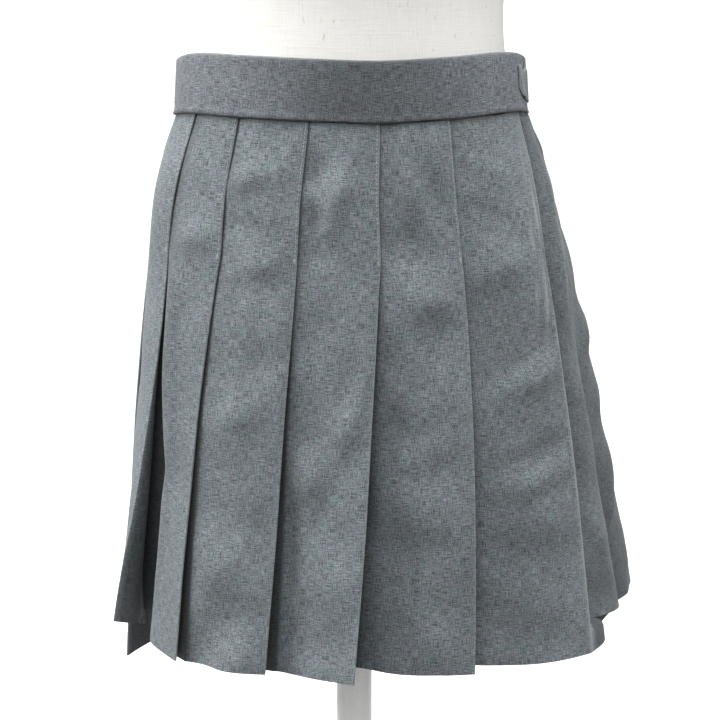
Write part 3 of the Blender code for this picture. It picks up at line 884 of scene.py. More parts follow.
@dataclass
class PleatedTube:
    """The shape that the front and the back share: where each bit of cloth lies.

    A place on the cloth is an azimuth about the middle of the figure and a stand-off from the
    inner ring on which the lowest layer lies. Lengths are in metres and azimuths in degrees.
    """

    seam_z: float = 0.540
    length: float = 0.359
    exponent: float = 2.3
    release: float = 0.25
    layer_step: float = 0.0009
    base: float = 0.0008
    seam_gap: float = 0.0003
    # How the layers lie and open.
    sewn_underlap: float = 0.020
    waver: float = 0.25
    return_sag: float = 1.4
    bowed_return_sag: float = 3.0
    flick_sag: float = 0.8
    flick_start: float = 0.940
    flick_run: float = 0.028
    dip_reach: float = 0.6
    ease: float = 0.005
    # Relief of the panels: large and fine unevenness, puckers under the band and creases. The
    # puff lifts the whole panel, and what still falls below its form sinks no further than sink.
    uneven: float = 0.0038
    uneven_open: float = 0.0024
    uneven_fine: float = 0.0011
    spring: float = 0.0012
    pucker: float = 0.00028
    pucker_reach: float = 0.010
    crease_scale: float = 2.3
    # Width of the creases' pale lines, partly wear and partly painted highlight, and how much wider they are
    # on the side panels.
    crease_line_width: float = 0.0008
    side_crease_line_scale: float = 2.2
    last_front_row: int = 6
    puff: float = 0.0025
    sink: float = 0.0004
    calm: float = 0.25
    calm_rows: int = 2
    # Pale fold edges, partly wear and partly painted highlight, and painted shade, as the materials read
    # them.
    edge_width: float = 0.0011
    crevice_width: float = 0.0010
    shade_width: float = 0.006
    shade: float = 0.30
    under_shade: float = 0.86
    under_reach: float = 0.002
    far_azimuth: float = 366.0
    far_spread: float = 14.0
    far_shade: float = 0.52
    side_azimuth: float = 354.0
    side_spread: float = 24.0
    front_wear_and_highlight: float = 0.25
    open_azimuth: float = 203.0
    open_spread: float = 14.0
    # Points along the cloth.
    cut_spacing: float = 0.25
    hidden_steps: int = 6
    shown_steps: int = 26
    return_steps: int = 12
    arc_steps: int = 7
    rings: dict[float, Ring] = field(default_factory=dict)

    def ring(self, share: float) -> Ring:
        """The inner ring at a share of the length."""
        if share not in self.rings:
            columns = ("centre_x", "centre_y", "half_width", "half_depth")
            self.rings[share] = Ring(share, *(smooth_table(RINGS, "share", c, share) for c in columns))
        return self.rings[share]

    def radius(self, azimuth: float, share: float) -> float:
        """Reach of the inner ring at an azimuth in degrees."""
        ring = self.ring(share)
        return superellipse_radius(math.radians(azimuth), ring.half_width, ring.half_depth, self.exponent)

    def place(self, azimuth: float, stand_off: float, share: float) -> tuple[float, float]:
        """A plan point at an azimuth and a stand-off from the inner ring."""
        ring = self.ring(share)
        reach = self.radius(azimuth, share) + self.base + stand_off
        angle = math.radians(azimuth)
        return ring.centre_x + reach * math.cos(angle), ring.centre_y + reach * math.sin(angle)

    def seam_height(self, azimuth: float) -> float:
        """Height of the waist seam."""
        first = WAIST_LINE[0].azimuth
        return self.seam_z + smooth_table(WAIST_LINE, "azimuth", "rise", first + (azimuth - first) % TURN)

    def cloth_height(self, azimuth: float, share: float, lift: float) -> float:
        """Height of the cloth; a lifted hem hardly changes the part that is sewn flat."""
        seam = self.seam_height(azimuth)
        return seam + (self.seam_z - self.length - seam) * share + lift * share**2

    def opening(self, share: float) -> float:
        """How far the pleats have opened: 0 down to the release line and 1 at the hem."""
        return max(0.0, (share - self.release) / (1.0 - self.release))

    def line(self, index: int, share: float) -> PleatLine:
        """The fold of an index, which may run on past the last fold.

        Args:
            index: number of the fold, counted round the skirt.
            share: share of the length.

        Returns:
            Where its outer and its inner fold lie, with a slight waver of its own.
        """
        turns, row = divmod(index, len(FOLDS))
        fold = FOLDS[row]
        opened = self.opening(share)
        if share <= self.release:
            outer = fold.seam + (fold.release - fold.seam) * share / self.release
        else:
            outer = fold.release + (fold.hem - fold.release) * opened**fold.swing
        growth = opened**fold.growth if opened else 0.0
        underlap = self.sewn_underlap + (fold.underlap - self.sewn_underlap) * opened
        outer += self.waver * drift(share * 4.0, row * 1.7, 3.1) * (0.25 + opened)
        stand_off = fold.stand_off * growth + self.spring * opened * drift(share * 5.0, row * 2.3, 8.9)
        return PleatLine(
            fold,
            outer + turns * TURN,
            outer + turns * TURN - math.degrees(underlap / self.radius(outer, share)),
            max(stand_off, 0.0),
            fold.bow * opened,
            fold.dip * opened,
        )

    def relief(self, index: int, place: float, share: float, width: float) -> tuple[float, float]:
        """Creases and unevenness of a panel.

        Args:
            index: number of the panel.
            place: share of the shown panel.
            share: share of the length.
            width: width of the shown panel in metres.

        Returns:
            Height above the plain form, in metres, and the crease's painted tone there: a pale line,
            partly wear and partly painted highlight, above 0, and painted shade below 0.
        """
        row = index % len(FOLDS) or len(FOLDS)
        opened = self.opening(share)
        fade = math.sin(math.pi * min(max(place, 0.0), 1.0)) ** 0.6
        fade *= self.calm if row <= self.calm_rows else 1.0
        uneven = self.uneven + self.uneven_open * opened
        uneven *= drift(place * 2.0 + row * 5.1, share * 9.0, row * 1.9)
        uneven += self.uneven_fine * drift(place * 4.0, share * 17.0, row * 2.7 + 40.0)
        under_band = math.exp(-share * self.length / self.pucker_reach)
        uneven += self.pucker * under_band * drift(place * 14.0, 0.0, row * 3.3)
        height = (uneven + self.puff) * fade
        line_width = self.crease_line_width * (self.side_crease_line_scale if row > self.last_front_row else 1.0)
        crease_tone = 0.0
        size = np.array((width, self.length))
        spot = np.array((place, share)) * size
        for crease in CREASES:
            if crease.panel != row:
                continue
            start = np.array(crease.start) * size
            way = np.array(crease.end) * size - start
            t = min(max(float(np.dot(spot - start, way) / np.dot(way, way)), 0.0), 1.0)
            gap = float(np.linalg.norm(spot - start - way * t))
            taper = 0.35 + 0.65 * math.sin(math.pi * t) ** 0.8
            ridge = taper * bell(gap, crease.width)
            height += self.crease_scale * crease.height * ridge * smooth_step((1.02 - place) / 0.12)
            # A crease's line is painted pale, partly wear and partly a painted highlight. A crease with a
            # tone below 0 gets painted shade over its trough.
            crease_tone += crease.crease_tone * (ridge if crease.crease_tone < 0.0 else taper * bell(gap, line_width))
        if height < 0.0:
            sink = self.sink * (1.0 + 3.0 * opened)
            height = -sink * (1.0 - math.exp(height / sink))
        return height, crease_tone

    def panel_run(self, index: int, share: float) -> tuple[np.ndarray, np.ndarray, np.ndarray]:
        """The panel from the inner fold before to its outer fold.

        Args:
            index: number of the panel.
            share: share of the length.

        Returns:
            Plan points, heights and the creases' painted tone.
        """
        before, line = self.line(index - 1, share), self.line(index, share)
        top = 2 * self.layer_step
        shown = line.outer - before.outer
        covered = max((line.inner - before.outer) / shown, 0.05)
        width = math.radians(shown) * self.radius(line.outer, share)
        span = line.outer - before.inner
        spots = []
        for step in np.linspace(0.0, 1.0, self.hidden_steps, endpoint=False):
            azimuth = before.inner + (before.outer - before.inner) * step
            spots.append((azimuth, -line.dip * step**self.return_sag, 0.0))
        for step in np.linspace(0.0, 1.0, self.shown_steps):
            place = 1.0 - (1.0 - step) ** 1.25
            stand_off = top * smooth_step(place / covered) + line.stand_off * place**line.fold.roundness
            stand_off -= line.dip * max(0.0, 1.0 - place / self.dip_reach) ** 2
            height, crease_tone = self.relief(index, place, share, width)
            spots.append((before.outer + shown * place, stand_off + height, crease_tone))
        plan = np.array([self.place(azimuth, stand_off, share) for azimuth, stand_off, _ in spots])
        heights = []
        for azimuth, _, _ in spots:
            part = (azimuth - before.inner) / span
            lift = before.fold.inner_lift + (line.fold.lift - before.fold.inner_lift) * part
            heights.append(self.cloth_height(azimuth, share, lift))
        return plan, np.array(heights), np.array([crease_tone for _, _, crease_tone in spots])

    def return_run(self, index: int, share: float) -> tuple[np.ndarray, np.ndarray, np.ndarray]:
        """The return from an outer fold back to its inner fold, under the panel.

        Args:
            index: number of the fold.
            share: share of the length.

        Returns:
            Plan points, heights and zeros, because a return has no creases.
        """
        line = self.line(index, share)
        sag = self.bowed_return_sag if line.fold.bow else self.return_sag
        free = smooth_step((share - self.flick_start) / self.flick_run) if line.fold.flick else 0.0
        sag += (self.flick_sag - sag) * free
        bow = line.bow + line.fold.flick * free
        plan, heights = [], []
        for step in np.linspace(0.0, 1.0, self.return_steps):
            azimuth = line.outer + (line.inner - line.outer) * step + bow * math.sin(math.pi * step)
            stand_off = self.layer_step + line.stand_off * (1.0 - step) ** sag
            fall = step ** (4.0 if line.fold.flick else 2.0) if line.fold.bow else step
            lift = line.fold.lift + (line.fold.inner_lift - line.fold.lift) * fall
            plan.append(self.place(azimuth, stand_off, share))
            heights.append(self.cloth_height(azimuth, share, lift))
        return np.array(plan), np.array(heights), np.zeros(len(plan))

    def joined(
        self, first: np.ndarray, second: np.ndarray, outer: bool
    ) -> tuple[np.ndarray, np.ndarray, np.ndarray]:
        """Ease two layers onto the round edge that joins them.

        Args:
            first: plan points of the layer that comes in.
            second: plan points of the layer that goes out.
            outer: whether the cloth turns left, round an outer fold.

        Returns:
            Both layers with their ends moved, and the points of the round edge between them.
        """
        side = 1.0 if outer else -1.0
        centre = (first[-1] + second[0]) / 2
        way_in = Vector(first[-1] - first[-3]).normalized()
        way_out = Vector(second[2] - second[0]).normalized()
        turn = way_in.angle_signed(way_out) * -side
        if turn < 0.0:
            turn += 2.0 * math.pi
        arm = Vector((way_in.y, -way_in.x)) * side * self.layer_step / 2
        arc = []
        for step in np.linspace(0.0, 1.0, self.arc_steps):
            arm_there = arm.copy()
            arm_there.rotate(Matrix.Rotation(side * turn * step, 2))
            arc.append(centre + np.array(arm_there))
        near_end = np.linalg.norm(first - first[-1], axis=1)
        near_start = np.linalg.norm(second - second[0], axis=1)
        first = first + (arc[0] - first[-1]) * np.exp(-((near_end / self.ease) ** 2))[:, None]
        second = second + (arc[-1] - second[0]) * np.exp(-((near_start / self.ease) ** 2))[:, None]
        return first, second, np.array(arc[1:-1])

    def section(self, panels: range, share: float) -> Section:
        """The cloth's middle line through a run of panels.

        Args:
            panels: the indexes of the panels.
            share: share of the length.

        Returns:
            The section, with the distance along the cloth counted from each outer fold.
        """
        runs = []
        for index in panels:
            runs += [self.panel_run(index, share), self.return_run(index, share)]
        arcs = []
        for k in range(len(runs) - 1):
            first, second, arc = self.joined(runs[k][0], runs[k + 1][0], outer=k % 2 == 0)
            runs[k] = (first, *runs[k][1:])
            runs[k + 1] = (second, *runs[k + 1][1:])
            arcs.append(arc)
        plan, heights, crease_tone = ([part] for part in runs[0])
        crests, troughs, starts = [], [], [self.hidden_steps]
        count = len(runs[0][0])
        for k, arc in enumerate(arcs):
            middle = count + len(arc) // 2
            (crests if k % 2 == 0 else troughs).append(middle)
            level = np.linspace(runs[k][1][-1], runs[k + 1][1][0], len(arc) + 2)[1:-1]
            plan += [arc, runs[k + 1][0]]
            heights += [level, runs[k + 1][1]]
            crease_tone += [np.zeros(len(arc)), runs[k + 1][2]]
            if k % 2:
                starts.append(count + len(arc) + self.hidden_steps)
            count += len(arc) + len(runs[k + 1][0])
        points = np.concatenate(plan)
        walked = distances(points)
        owner = np.searchsorted(np.array(troughs), np.arange(count), side="right")
        from_crest = walked - walked[np.array(crests)][owner]
        from_start = walked - walked[np.array(starts)][owner]
        past_crest = np.arange(count) > np.array([*crests, count])[np.minimum(owner, len(crests))]
        edge, painted_shade = self.masks(points, from_crest, from_start, past_crest, np.concatenate(crease_tone))
        along = from_crest + self.cut_spacing * (panels.start + owner)
        return Section(points, np.concatenate(heights), along, edge, painted_shade, crests)

    def masks(
        self,
        points: np.ndarray,
        from_crest: np.ndarray,
        from_start: np.ndarray,
        past_crest: np.ndarray,
        crease_tone: np.ndarray,
    ) -> tuple[np.ndarray, np.ndarray]:
        """Where a fold is painted pale, partly wear and partly a painted highlight, and where painted shade
        darkens the cloth under another layer.

        Args:
            points: plan points along the cloth.
            from_crest: distance of each point from its panel's outer fold.
            from_start: distance of each point from where its panel comes out from under the last.
            past_crest: whether a point lies on a return.
            crease_tone: each point's crease tone, pale above 0 and painted shade below 0.

        Returns:
            The values of fold_wear_and_highlight and of crevice.
        """
        azimuths = np.degrees(np.arctan2(points[:, 1], points[:, 0]))
        side = near_azimuth(azimuths, self.side_azimuth, self.side_spread)
        far = near_azimuth(azimuths, self.far_azimuth, self.far_spread)
        open_side = near_azimuth(azimuths, self.open_azimuth, self.open_spread)
        # Pale fold edges, partly wear and partly a painted highlight, stronger on the side of the figure and
        # along pale crease lines.
        wear_highlight_weight = self.front_wear_and_highlight + (1.0 - self.front_wear_and_highlight) * side
        edge = wear_highlight_weight * np.exp(-((from_crest / (self.edge_width * (1.0 + side))) ** 2))
        edge = np.clip(edge + np.maximum(crease_tone, 0.0), 0.0, 1.0)
        # Painted shade where each panel comes out from under the last, stronger on the side, the open side
        # and the far panels, in crease troughs and under the returns.
        reach = self.shade_width * (1.0 + 3.0 * side + open_side)
        shade = self.shade * (1.0 + 1.5 * side + 1.6 * open_side)
        soft = shade * np.exp(-np.maximum(from_start, 0.0) / reach)
        painted_shade = np.maximum(np.exp(-((from_start / self.crevice_width) ** 2)), soft)
        painted_shade = np.maximum(painted_shade, np.maximum(self.far_shade * far, -crease_tone))
        under = past_crest * (1.0 - np.exp(-np.abs(from_crest) / self.under_reach))
        under = np.maximum(under, (from_start < 0.0) * 1.0)
        return edge, np.where(under > 0.0, self.under_shade * under, painted_shade)


@dataclass
class PleatedCloth:
    """One half of the skirt: a thin wall of suiting laid in seven knife pleats."""

    tube: PleatedTube
    side: Side
    wall: float = 0.0006
    rows: int = 112
    band_shade: float = 0.0026
    sections: list[Section] = field(default_factory=list)

    def build(self, name: str) -> bpy.types.Object:
        """Loft the cloth's two faces, its side edges, its top and its hem.

        Args:
            name: the object's name.

        Returns:
            The closed, thin-walled piece.
        """
        shares = np.linspace(0.0, 1.0, self.rows)
        self.sections = [self.tube.section(self.side.value, share) for share in shares]
        loops, uvs, edges, crevices = [], [], [], []
        for share, section in zip(shares, self.sections):
            way = np.gradient(section.plan, axis=0)
            way /= np.linalg.norm(way, axis=1)[:, None]
            half_wall = np.stack([way[:, 1], -way[:, 0]], axis=1) * self.wall / 2
            heights = section.heights - (self.tube.seam_gap if share == 0.0 else 0.0)
            outer = np.column_stack([section.plan + half_wall, heights])
            inner = np.column_stack([section.plan - half_wall, heights])
            place = np.column_stack([section.along, np.full(len(heights), -share * self.tube.length)])
            # Painted shade on the top rows, under the band's lower edge.
            painted_shade = np.maximum(section.painted_shade, bell(share * self.tube.length, self.band_shade))
            loops.append(np.concatenate([outer, inner[::-1]]))
            uvs.append(np.concatenate([place, place[::-1]]))
            edges.append(np.concatenate([section.fold_wear_and_highlight, section.fold_wear_and_highlight[::-1]]))
            crevices.append(np.concatenate([painted_shade, painted_shade[::-1]]))
        data = lofted_mesh(name, np.array(loops), np.array(uvs), closed=True)
        write_masks(data, {"fold_wear_and_highlight": edges, "painted_shade": crevices})
        girth = len(loops[0])
        rings = []
        for k in range(girth // 2 - 1):
            ring = (k, girth - 1 - k, girth - 2 - k, k + 1)
            rings += [ring[::-1], [(self.rows - 1) * girth + point for point in ring]]
        close_ends(data, rings, np.array(uvs).reshape(-1, 2))
        return new_object(name, data)

    def near_fold(self, crest: int, distance: float) -> list[tuple[Vector, Vector]]:
        """Places on the outer face at a distance before an outer fold, one for each row.

        Args:
            crest: number of the fold within this half.
            distance: how far from the fold, in metres.

        Returns:
            A point and the way out of the cloth there, for each row.
        """
        found = []
        for section in self.sections:
            column = section.fold_columns[crest]
            points = section.plan[: column + 1][::-1]
            walked = distances(points)
            k = int(np.searchsorted(walked, distance))
            t = (distance - walked[k - 1]) / (walked[k] - walked[k - 1])
            spot = points[k - 1] + (points[k] - points[k - 1]) * t
            way = points[k - 1] - points[k]
            out = Vector((way[1], -way[0], 0.0)).normalized()
            heights = section.heights[: column + 1][::-1]
            height = heights[k - 1] + (heights[k] - heights[k - 1]) * t
            found.append((Vector((spot[0], spot[1], height)) + out * self.wall / 2, out))
        return found


@dataclass
class EdgeStitching:
    """Machine stitches that hold each pleat flat from the band to the release line."""

    cloth: PleatedCloth
    inset: float = 0.0018
    stitch: float = 0.0021
    gap: float = 0.0007
    thickness: float = 0.00042
    first: float = 0.002
    sunk: float = 0.12
    bar_stitches: int = 5
    bar_rise: float = 0.00015

    def template(self) -> bpy.types.Object:
        """One stitch: a small ball drawn out along X and flattened, with its ends dipping."""
        bpy.ops.object.select_all(action="DESELECT")
        bpy.ops.mesh.primitive_uv_sphere_add(segments=6, ring_count=4, radius=0.5)
        obj = added("one_stitch")
        obj.rotation_euler = (0.0, math.radians(90.0), 0.0)
        bake_place(obj)
        obj.scale = (self.stitch, self.thickness, self.thickness)
        bake_place(obj)
        return obj

    def build(self, name: str) -> bpy.types.Object:
        """Lay the stitches along every fold of the cloth.

        Args:
            name: the object's name.

        Returns:
            All stitches, joined.
        """
        places = []
        rows = int(self.cloth.tube.release * (self.cloth.rows - 1)) + 1
        for crest in range(len(self.cloth.side.value)):
            trail = self.cloth.near_fold(crest, self.inset)[: rows + 1]
            walked = distances(np.array([spot for spot, _ in trail]))
            at = self.first
            while at < walked[-1] - self.stitch:
                k = int(np.searchsorted(walked, at))
                t = (at - walked[k - 1]) / (walked[k] - walked[k - 1])
                spot = trail[k - 1][0].lerp(trail[k][0], t)
                along = (trail[k][0] - trail[k - 1][0]).normalized()
                places.append(self.placed(spot, along, trail[k][1]))
                at += self.stitch + self.gap
            end, out = trail[-1]
            along = (end - trail[-2][0]).normalized()
            across = along.cross(out).normalized()
            for k in range(self.bar_stitches):
                below = along * self.thickness * 1.4 * (k - self.bar_stitches)
                places.append(self.placed(end + below + out * self.bar_rise, across, out))
        return copies_of(self.template(), name, places)

    def placed(self, spot: Vector, along: Vector, out: Vector) -> Matrix:
        """Where one stitch lies: drawn out along a way, half sunk in the cloth."""
        side = out.cross(along).normalized()
        turn = Matrix((along, side, out)).transposed().to_4x4()
        return Matrix.Translation(spot + out * self.thickness * self.sunk) @ turn


# ---------------------------------------------------------------------------------------
# Waistband, closing tab and zip
# ---------------------------------------------------------------------------------------


@dataclass
class Waistband:
    """The straight band, folded over at its top, with a rolled lower edge."""

    tube: PleatedTube
    height: float = 0.040
    wall: float = 0.0027
    stand_off: float = 0.0019
    taper: float = 0.0025
    closing: float = 347.0
    end_gap: float = 0.2
    segments: int = 300
    face_steps: int = 16
    arc_steps: int = 7
    roll: float = 0.0009
    roll_height: float = 0.0019
    roll_width: float = 0.0017
    groove: float = 0.0004
    groove_height: float = 0.0050
    groove_width: float = 0.0012
    side_drop: float = 0.066
    front_azimuth: float = 275.0
    placket_lines: tuple[float, ...] = (333.5, 338.2)
    line_depth: float = 0.0003
    line_width: float = 0.0007
    ripple: float = 0.0004
    fine_ripple: float = 0.00018
    shade: float = 0.60
    shade_width: float = 33.0
    edge_shade: float = 0.78
    edge_shade_height: float = 0.0020
    top_fold_wear_highlight: float = 0.5
    top_fold_wear_highlight_height: float = 0.0013

    def place(self, azimuth: float, height: float, out: float) -> Vector:
        """A point at a height above the seam and a distance out from the band's middle."""
        height *= 1.0 - self.side_drop * smooth_step((abs(azimuth % TURN - 270.0) - 50.0) / 38.0)
        lean = self.taper * (1.0 - 1.7 * bell(azimuth % TURN - self.front_azimuth, 30.0))
        stand_off = self.stand_off + out - lean * height / self.height
        x, y = self.tube.place(azimuth, stand_off, 0.0)
        return Vector((x, y, self.tube.seam_height(azimuth) + height))

    def outline(self) -> list[tuple[float, float]]:
        """The band's cross-section: distance out and height, going round it."""
        half = self.wall / 2
        face = np.linspace(half, self.height - half, self.face_steps)[1:-1]
        return [
            *self.rounding(-90.0, 0.0, self.arc_steps, half),
            *((half, height) for height in face),
            *self.rounding(0.0, 180.0, 2 * self.arc_steps, self.height - half),
            *((-half, height) for height in face[::-1]),
            *self.rounding(180.0, 270.0, self.arc_steps, half)[:-1],
        ]

    def rounding(self, start: float, end: float, steps: int, height: float) -> list[tuple[float, float]]:
        """Points of the cross-section's round edge, from one angle to another about a height."""
        half = self.wall / 2
        angles = [math.radians(step) for step in np.linspace(start, end, steps)]
        return [(half * math.cos(angle), height + half * math.sin(angle)) for angle in angles]

    def surface(self, azimuth: float, height: float, out: float) -> float:
        """How far the outer face swells: its rolled edge, the placket's lines and ripples."""
        if out < 0.0:
            return 0.0
        swell = self.roll * bell(height - self.roll_height, self.roll_width)
        swell -= self.groove * bell(height - self.groove_height, self.groove_width)
        arc = math.radians(1.0) * self.tube.radius(azimuth, 0.0)
        depth = self.line_depth * smooth_step((height - 0.004) / 0.004)
        for line in self.placket_lines:
            swell -= depth * bell((azimuth % TURN - line) * arc, self.line_width)
        swell += self.ripple * drift(azimuth * 0.12, height * 55.0, 2.2)
        return swell + self.fine_ripple * drift(azimuth * 0.6, height * 160.0, 5.2)

    def build(self, name: str) -> bpy.types.Object:
        """Loft the band round the waist and close its two ends.

        Args:
            name: the object's name.

        Returns:
            The band.
        """
        outline = self.outline()
        girth = distances(np.array(outline))
        sweep = TURN - 2 * self.end_gap
        rows, uvs, shades, edges = [], [], [], []
        walked = 0.0
        for step in np.linspace(0.0, 1.0, self.segments + 1):
            azimuth = self.closing + self.end_gap + sweep * step
            row = [self.place(azimuth, h, out + self.surface(azimuth, h, out)) for out, h in outline]
            walked += (row[0] - rows[-1][0]).length if rows else 0.0
            rows.append(row)
            uvs.append([(walked + 2.0, distance) for distance in girth])
            # Painted shade across the front centre and along the lower edge, and a top fold painted pale,
            # partly wear and partly a painted highlight.
            soft = self.shade * bell(azimuth % TURN - self.front_azimuth, self.shade_width)
            shades.append([max(soft, self.edge_shade * bell(h, self.edge_shade_height)) for _, h in outline])
            edges.append([self.top_fold_wear_highlight * bell(h - self.height, self.top_fold_wear_highlight_height) for _, h in outline])
        data = lofted_mesh(name, np.array(rows), np.array(uvs), closed=True)
        write_masks(data, {"fold_wear_and_highlight": edges, "painted_shade": shades})
        ends = np.arange(len(outline)), self.segments * len(outline) + np.arange(len(outline))[::-1]
        close_ends(data, ends)
        return new_object(name, data)


@dataclass
class ClosingTab:
    """The folded strip over the band's closing, pinched into a V at its front."""

    band: Waistband
    front: float = 339.6
    rear: float = 361.0
    low: tuple[float, float] = (0.0125, 0.0085)
    high: tuple[float, float] = (0.0320, 0.0300)
    wall: float = 0.0007
    clearance: float = 0.0001
    pinch: float = 0.0014
    pinch_width: float = 0.0009
    second_pinch: float = 0.0010
    second_width: float = 0.0010
    hollow: float = 0.0006
    hollow_width: float = 0.0011
    stand_off: float = 0.0002
    lap: float = 0.045
    front_rise: float = 0.0030
    top_dip: float = 0.0026
    columns: int = 44
    rows: int = 26

    def relief(self, azimuth: float, height: float) -> float:
        """How far the strip stands off the band: its two pinched edges and the dip between."""
        arc = math.radians(1.0) * self.band.tube.radius(azimuth, 0.0)
        lean = (self.high[0] - height) / (self.high[0] - self.low[0])
        first = (azimuth - self.front - 0.6 - 3.2 * lean) * arc
        second = (azimuth - self.front - 4.8 - 1.0 * lean) * arc
        ridge = self.pinch * bell(first, self.pinch_width)
        ridge += self.second_pinch * bell(second, self.second_width) * smooth_step((0.62 - lean) / 0.2)
        dip = self.hollow * bell((first + second) / 2, self.hollow_width) * smooth_step((0.75 - lean) / 0.2)
        return ridge - dip + self.stand_off

    def build(self, name: str) -> bpy.types.Object:
        """Model the strip as a sheet over the band and thicken it.

        Args:
            name: the object's name.

        Returns:
            The strip.
        """
        clear = self.band.wall / 2 + self.wall / 2 + self.clearance
        rows, uvs, edges, shades = [], [], [], []
        for level in np.linspace(0.0, 1.0, self.rows):
            for along in np.linspace(0.0, 1.0, self.columns):
                azimuth = self.front + (self.rear - self.front) * along
                low = self.low[0] + (self.low[1] - self.low[0]) * smooth_step(along * 3.0)
                low += self.front_rise * bell(along, 0.06)
                high = self.high[0] + (self.high[1] - self.high[0]) * along
                high -= self.top_dip * bell(along - 0.20, 0.07)
                height = low + (high - low) * level
                relief = self.relief(azimuth, height)
                rows.append(self.band.place(azimuth, height, clear + relief))
                uvs.append((3.0 + along * self.lap, height))
                # Painted highlight on the pinched ridges and along the folded top edge; painted shade along
                # the lower edge and in the hollow beside the pinches.
                raised = relief / self.pinch
                edges.append(min(1.0, 0.9 * max(raised, 0.0) + 0.9 * bell(1.0 - level, 0.10)))
                shades.append(max(0.8 * bell(level, 0.06), 0.6 * bell(raised + 0.15, 0.25)))
        grid = (self.rows, self.columns, -1)
        data = lofted_mesh(name, np.array(rows).reshape(grid), np.array(uvs).reshape(grid))
        write_masks(data, {"fold_wear_and_highlight": edges, "painted_shade": shades})
        obj = new_object(name, data)
        add_modifier(obj, "SOLIDIFY", thickness=self.wall, offset=0.0, use_even_offset=True)
        corners = {"limit_method": "ANGLE", "angle_limit": math.radians(60.0)}
        add_modifier(obj, "BEVEL", width=self.wall * 0.35, segments=2, **corners)
        apply_modifiers(obj)
        return obj


@dataclass
class SideZip:
    """The concealed zip inside the wearer's left side: tape, closed teeth and slider."""

    tube: PleatedTube
    azimuth: float = 345.0
    half_width: float = 3.0
    stand_off: float = -0.0014
    wall: float = 0.0006
    panel: int = 8
    bottom: float = 0.36
    top: float = 0.01
    rows: int = 60
    tape_columns: int = 9
    tooth: float = 0.0011
    pitch: float = 0.0015
    tape_reach: float = 0.0065
    first_tooth: float = 0.012
    teeth_left_out: int = 6
    slider_size: tuple[float, float, float] = (0.0056, 0.0012, 0.0080)
    slider_foot: float = 0.0025
    slider_below_top: float = 0.025
    slider_inwards: float = 0.0009
    slider_bevel: float = 0.0003

    def spot(self, share: float, side: float, inwards: float) -> Vector:
        """A point on the tape, or the given distance further in towards the form."""
        stand_off = self.stand_off - FOLDS[self.panel].dip * self.tube.opening(share) - inwards
        azimuth = self.azimuth + self.half_width * side
        x, y = self.tube.place(azimuth, stand_off, share)
        return Vector((x, y, self.tube.cloth_height(azimuth, share, 0.0)))

    def build_tape(self, name: str) -> bpy.types.Object:
        """Model the woven tape."""
        sides = np.linspace(-1.0, 1.0, self.tape_columns)
        rows, uvs = [], []
        for share in np.linspace(self.bottom, self.top, self.rows):
            rows.append([self.spot(share, side, 0.0) for side in sides])
            uvs.append([(4.0 + side * self.tape_reach, -share * self.tube.length) for side in sides])
        obj = new_object(name, lofted_mesh(name, np.array(rows), np.array(uvs)))
        add_modifier(obj, "SOLIDIFY", thickness=self.wall, offset=0.0)
        apply_modifiers(obj)
        return obj

    def block(self, name: str, size: tuple[float, float, float]) -> bpy.types.Object:
        """A block of a size at the origin, to be shaped further."""
        bpy.ops.object.select_all(action="DESELECT")
        bpy.ops.mesh.primitive_cube_add(size=1.0)
        obj = added(name)
        obj.scale = size
        bake_place(obj)
        return obj

    def build_teeth(self, name: str) -> bpy.types.Object:
        """Copy one rounded tooth down the middle of the tape, left and right in turn."""
        tooth = self.block("one_tooth", (self.tooth * 1.6, self.tooth * 0.6, self.tooth * 0.8))
        add_modifier(tooth, "BEVEL", width=self.tooth * 0.15, segments=1)
        apply_modifiers(tooth)
        count = int((self.bottom - self.top) * self.tube.length / self.pitch) - self.teeth_left_out
        inwards = self.wall / 2 + self.tooth * 0.25
        places = []
        for k in range(count):
            share = self.bottom - self.first_tooth - k * self.pitch / self.tube.length
            side = 0.06 if k % 2 else -0.06
            spot = self.spot(share, side, inwards)
            down = (self.spot(share + 0.01, side, inwards) - spot).normalized()
            beside = self.spot(share, side + 0.1, inwards) - spot
            beside = (beside - down * beside.dot(down)).normalized()
            turn = Matrix((beside, down.cross(beside), down)).transposed().to_4x4()
            places.append(Matrix.Translation(spot) @ turn)
        return copies_of(tooth, name, places)

    def build_slider(self, name: str) -> bpy.types.Object:
        """Model the slider at the top: a block drawn out and in at its foot."""
        slider = self.block(name, self.slider_size)
        bpy.ops.object.mode_set(mode="EDIT")
        bpy.ops.mesh.select_mode(type="FACE")
        bpy.ops.mesh.select_all(action="DESELECT")
        bpy.ops.object.mode_set(mode="OBJECT")
        for polygon in slider.data.polygons:
            polygon.select = polygon.normal.z < -0.9
        foot = self.slider_size[2] / 2 + self.slider_foot
        bpy.ops.object.mode_set(mode="EDIT")
        bpy.ops.mesh.extrude_region_move(TRANSFORM_OT_translate={"value": (0.0, 0.0, -self.slider_foot)})
        bpy.ops.transform.resize(value=(0.55, 1.0, 1.0), center_override=(0.0, 0.0, -foot))
        bpy.ops.object.mode_set(mode="OBJECT")
        add_modifier(slider, "BEVEL", width=self.slider_bevel, segments=2)
        apply_modifiers(slider)
        inwards = self.wall / 2 + self.slider_inwards
        share = self.top + self.slider_below_top
        spot = self.spot(share, 0.0, inwards)
        down = (self.spot(share + 0.015, 0.0, inwards) - spot).normalized()
        beside = down.cross(Vector((spot.x, spot.y, 0.0)).normalized()).normalized()
        turn = Matrix((beside, beside.cross(down), -down)).transposed().to_4x4()
        slider.matrix_world = Matrix.Translation(spot) @ turn
        bake_place(slider)
        return slider


# ---------------------------------------------------------------------------------------
# Dress form and stand
# ---------------------------------------------------------------------------------------


@dataclass(frozen=True)
class Level:
    """The torso's outline at a height: half its width, and its reach to the front and back."""

    z: float
    centre_x: float
    half_width: float
    front: float
    back: float


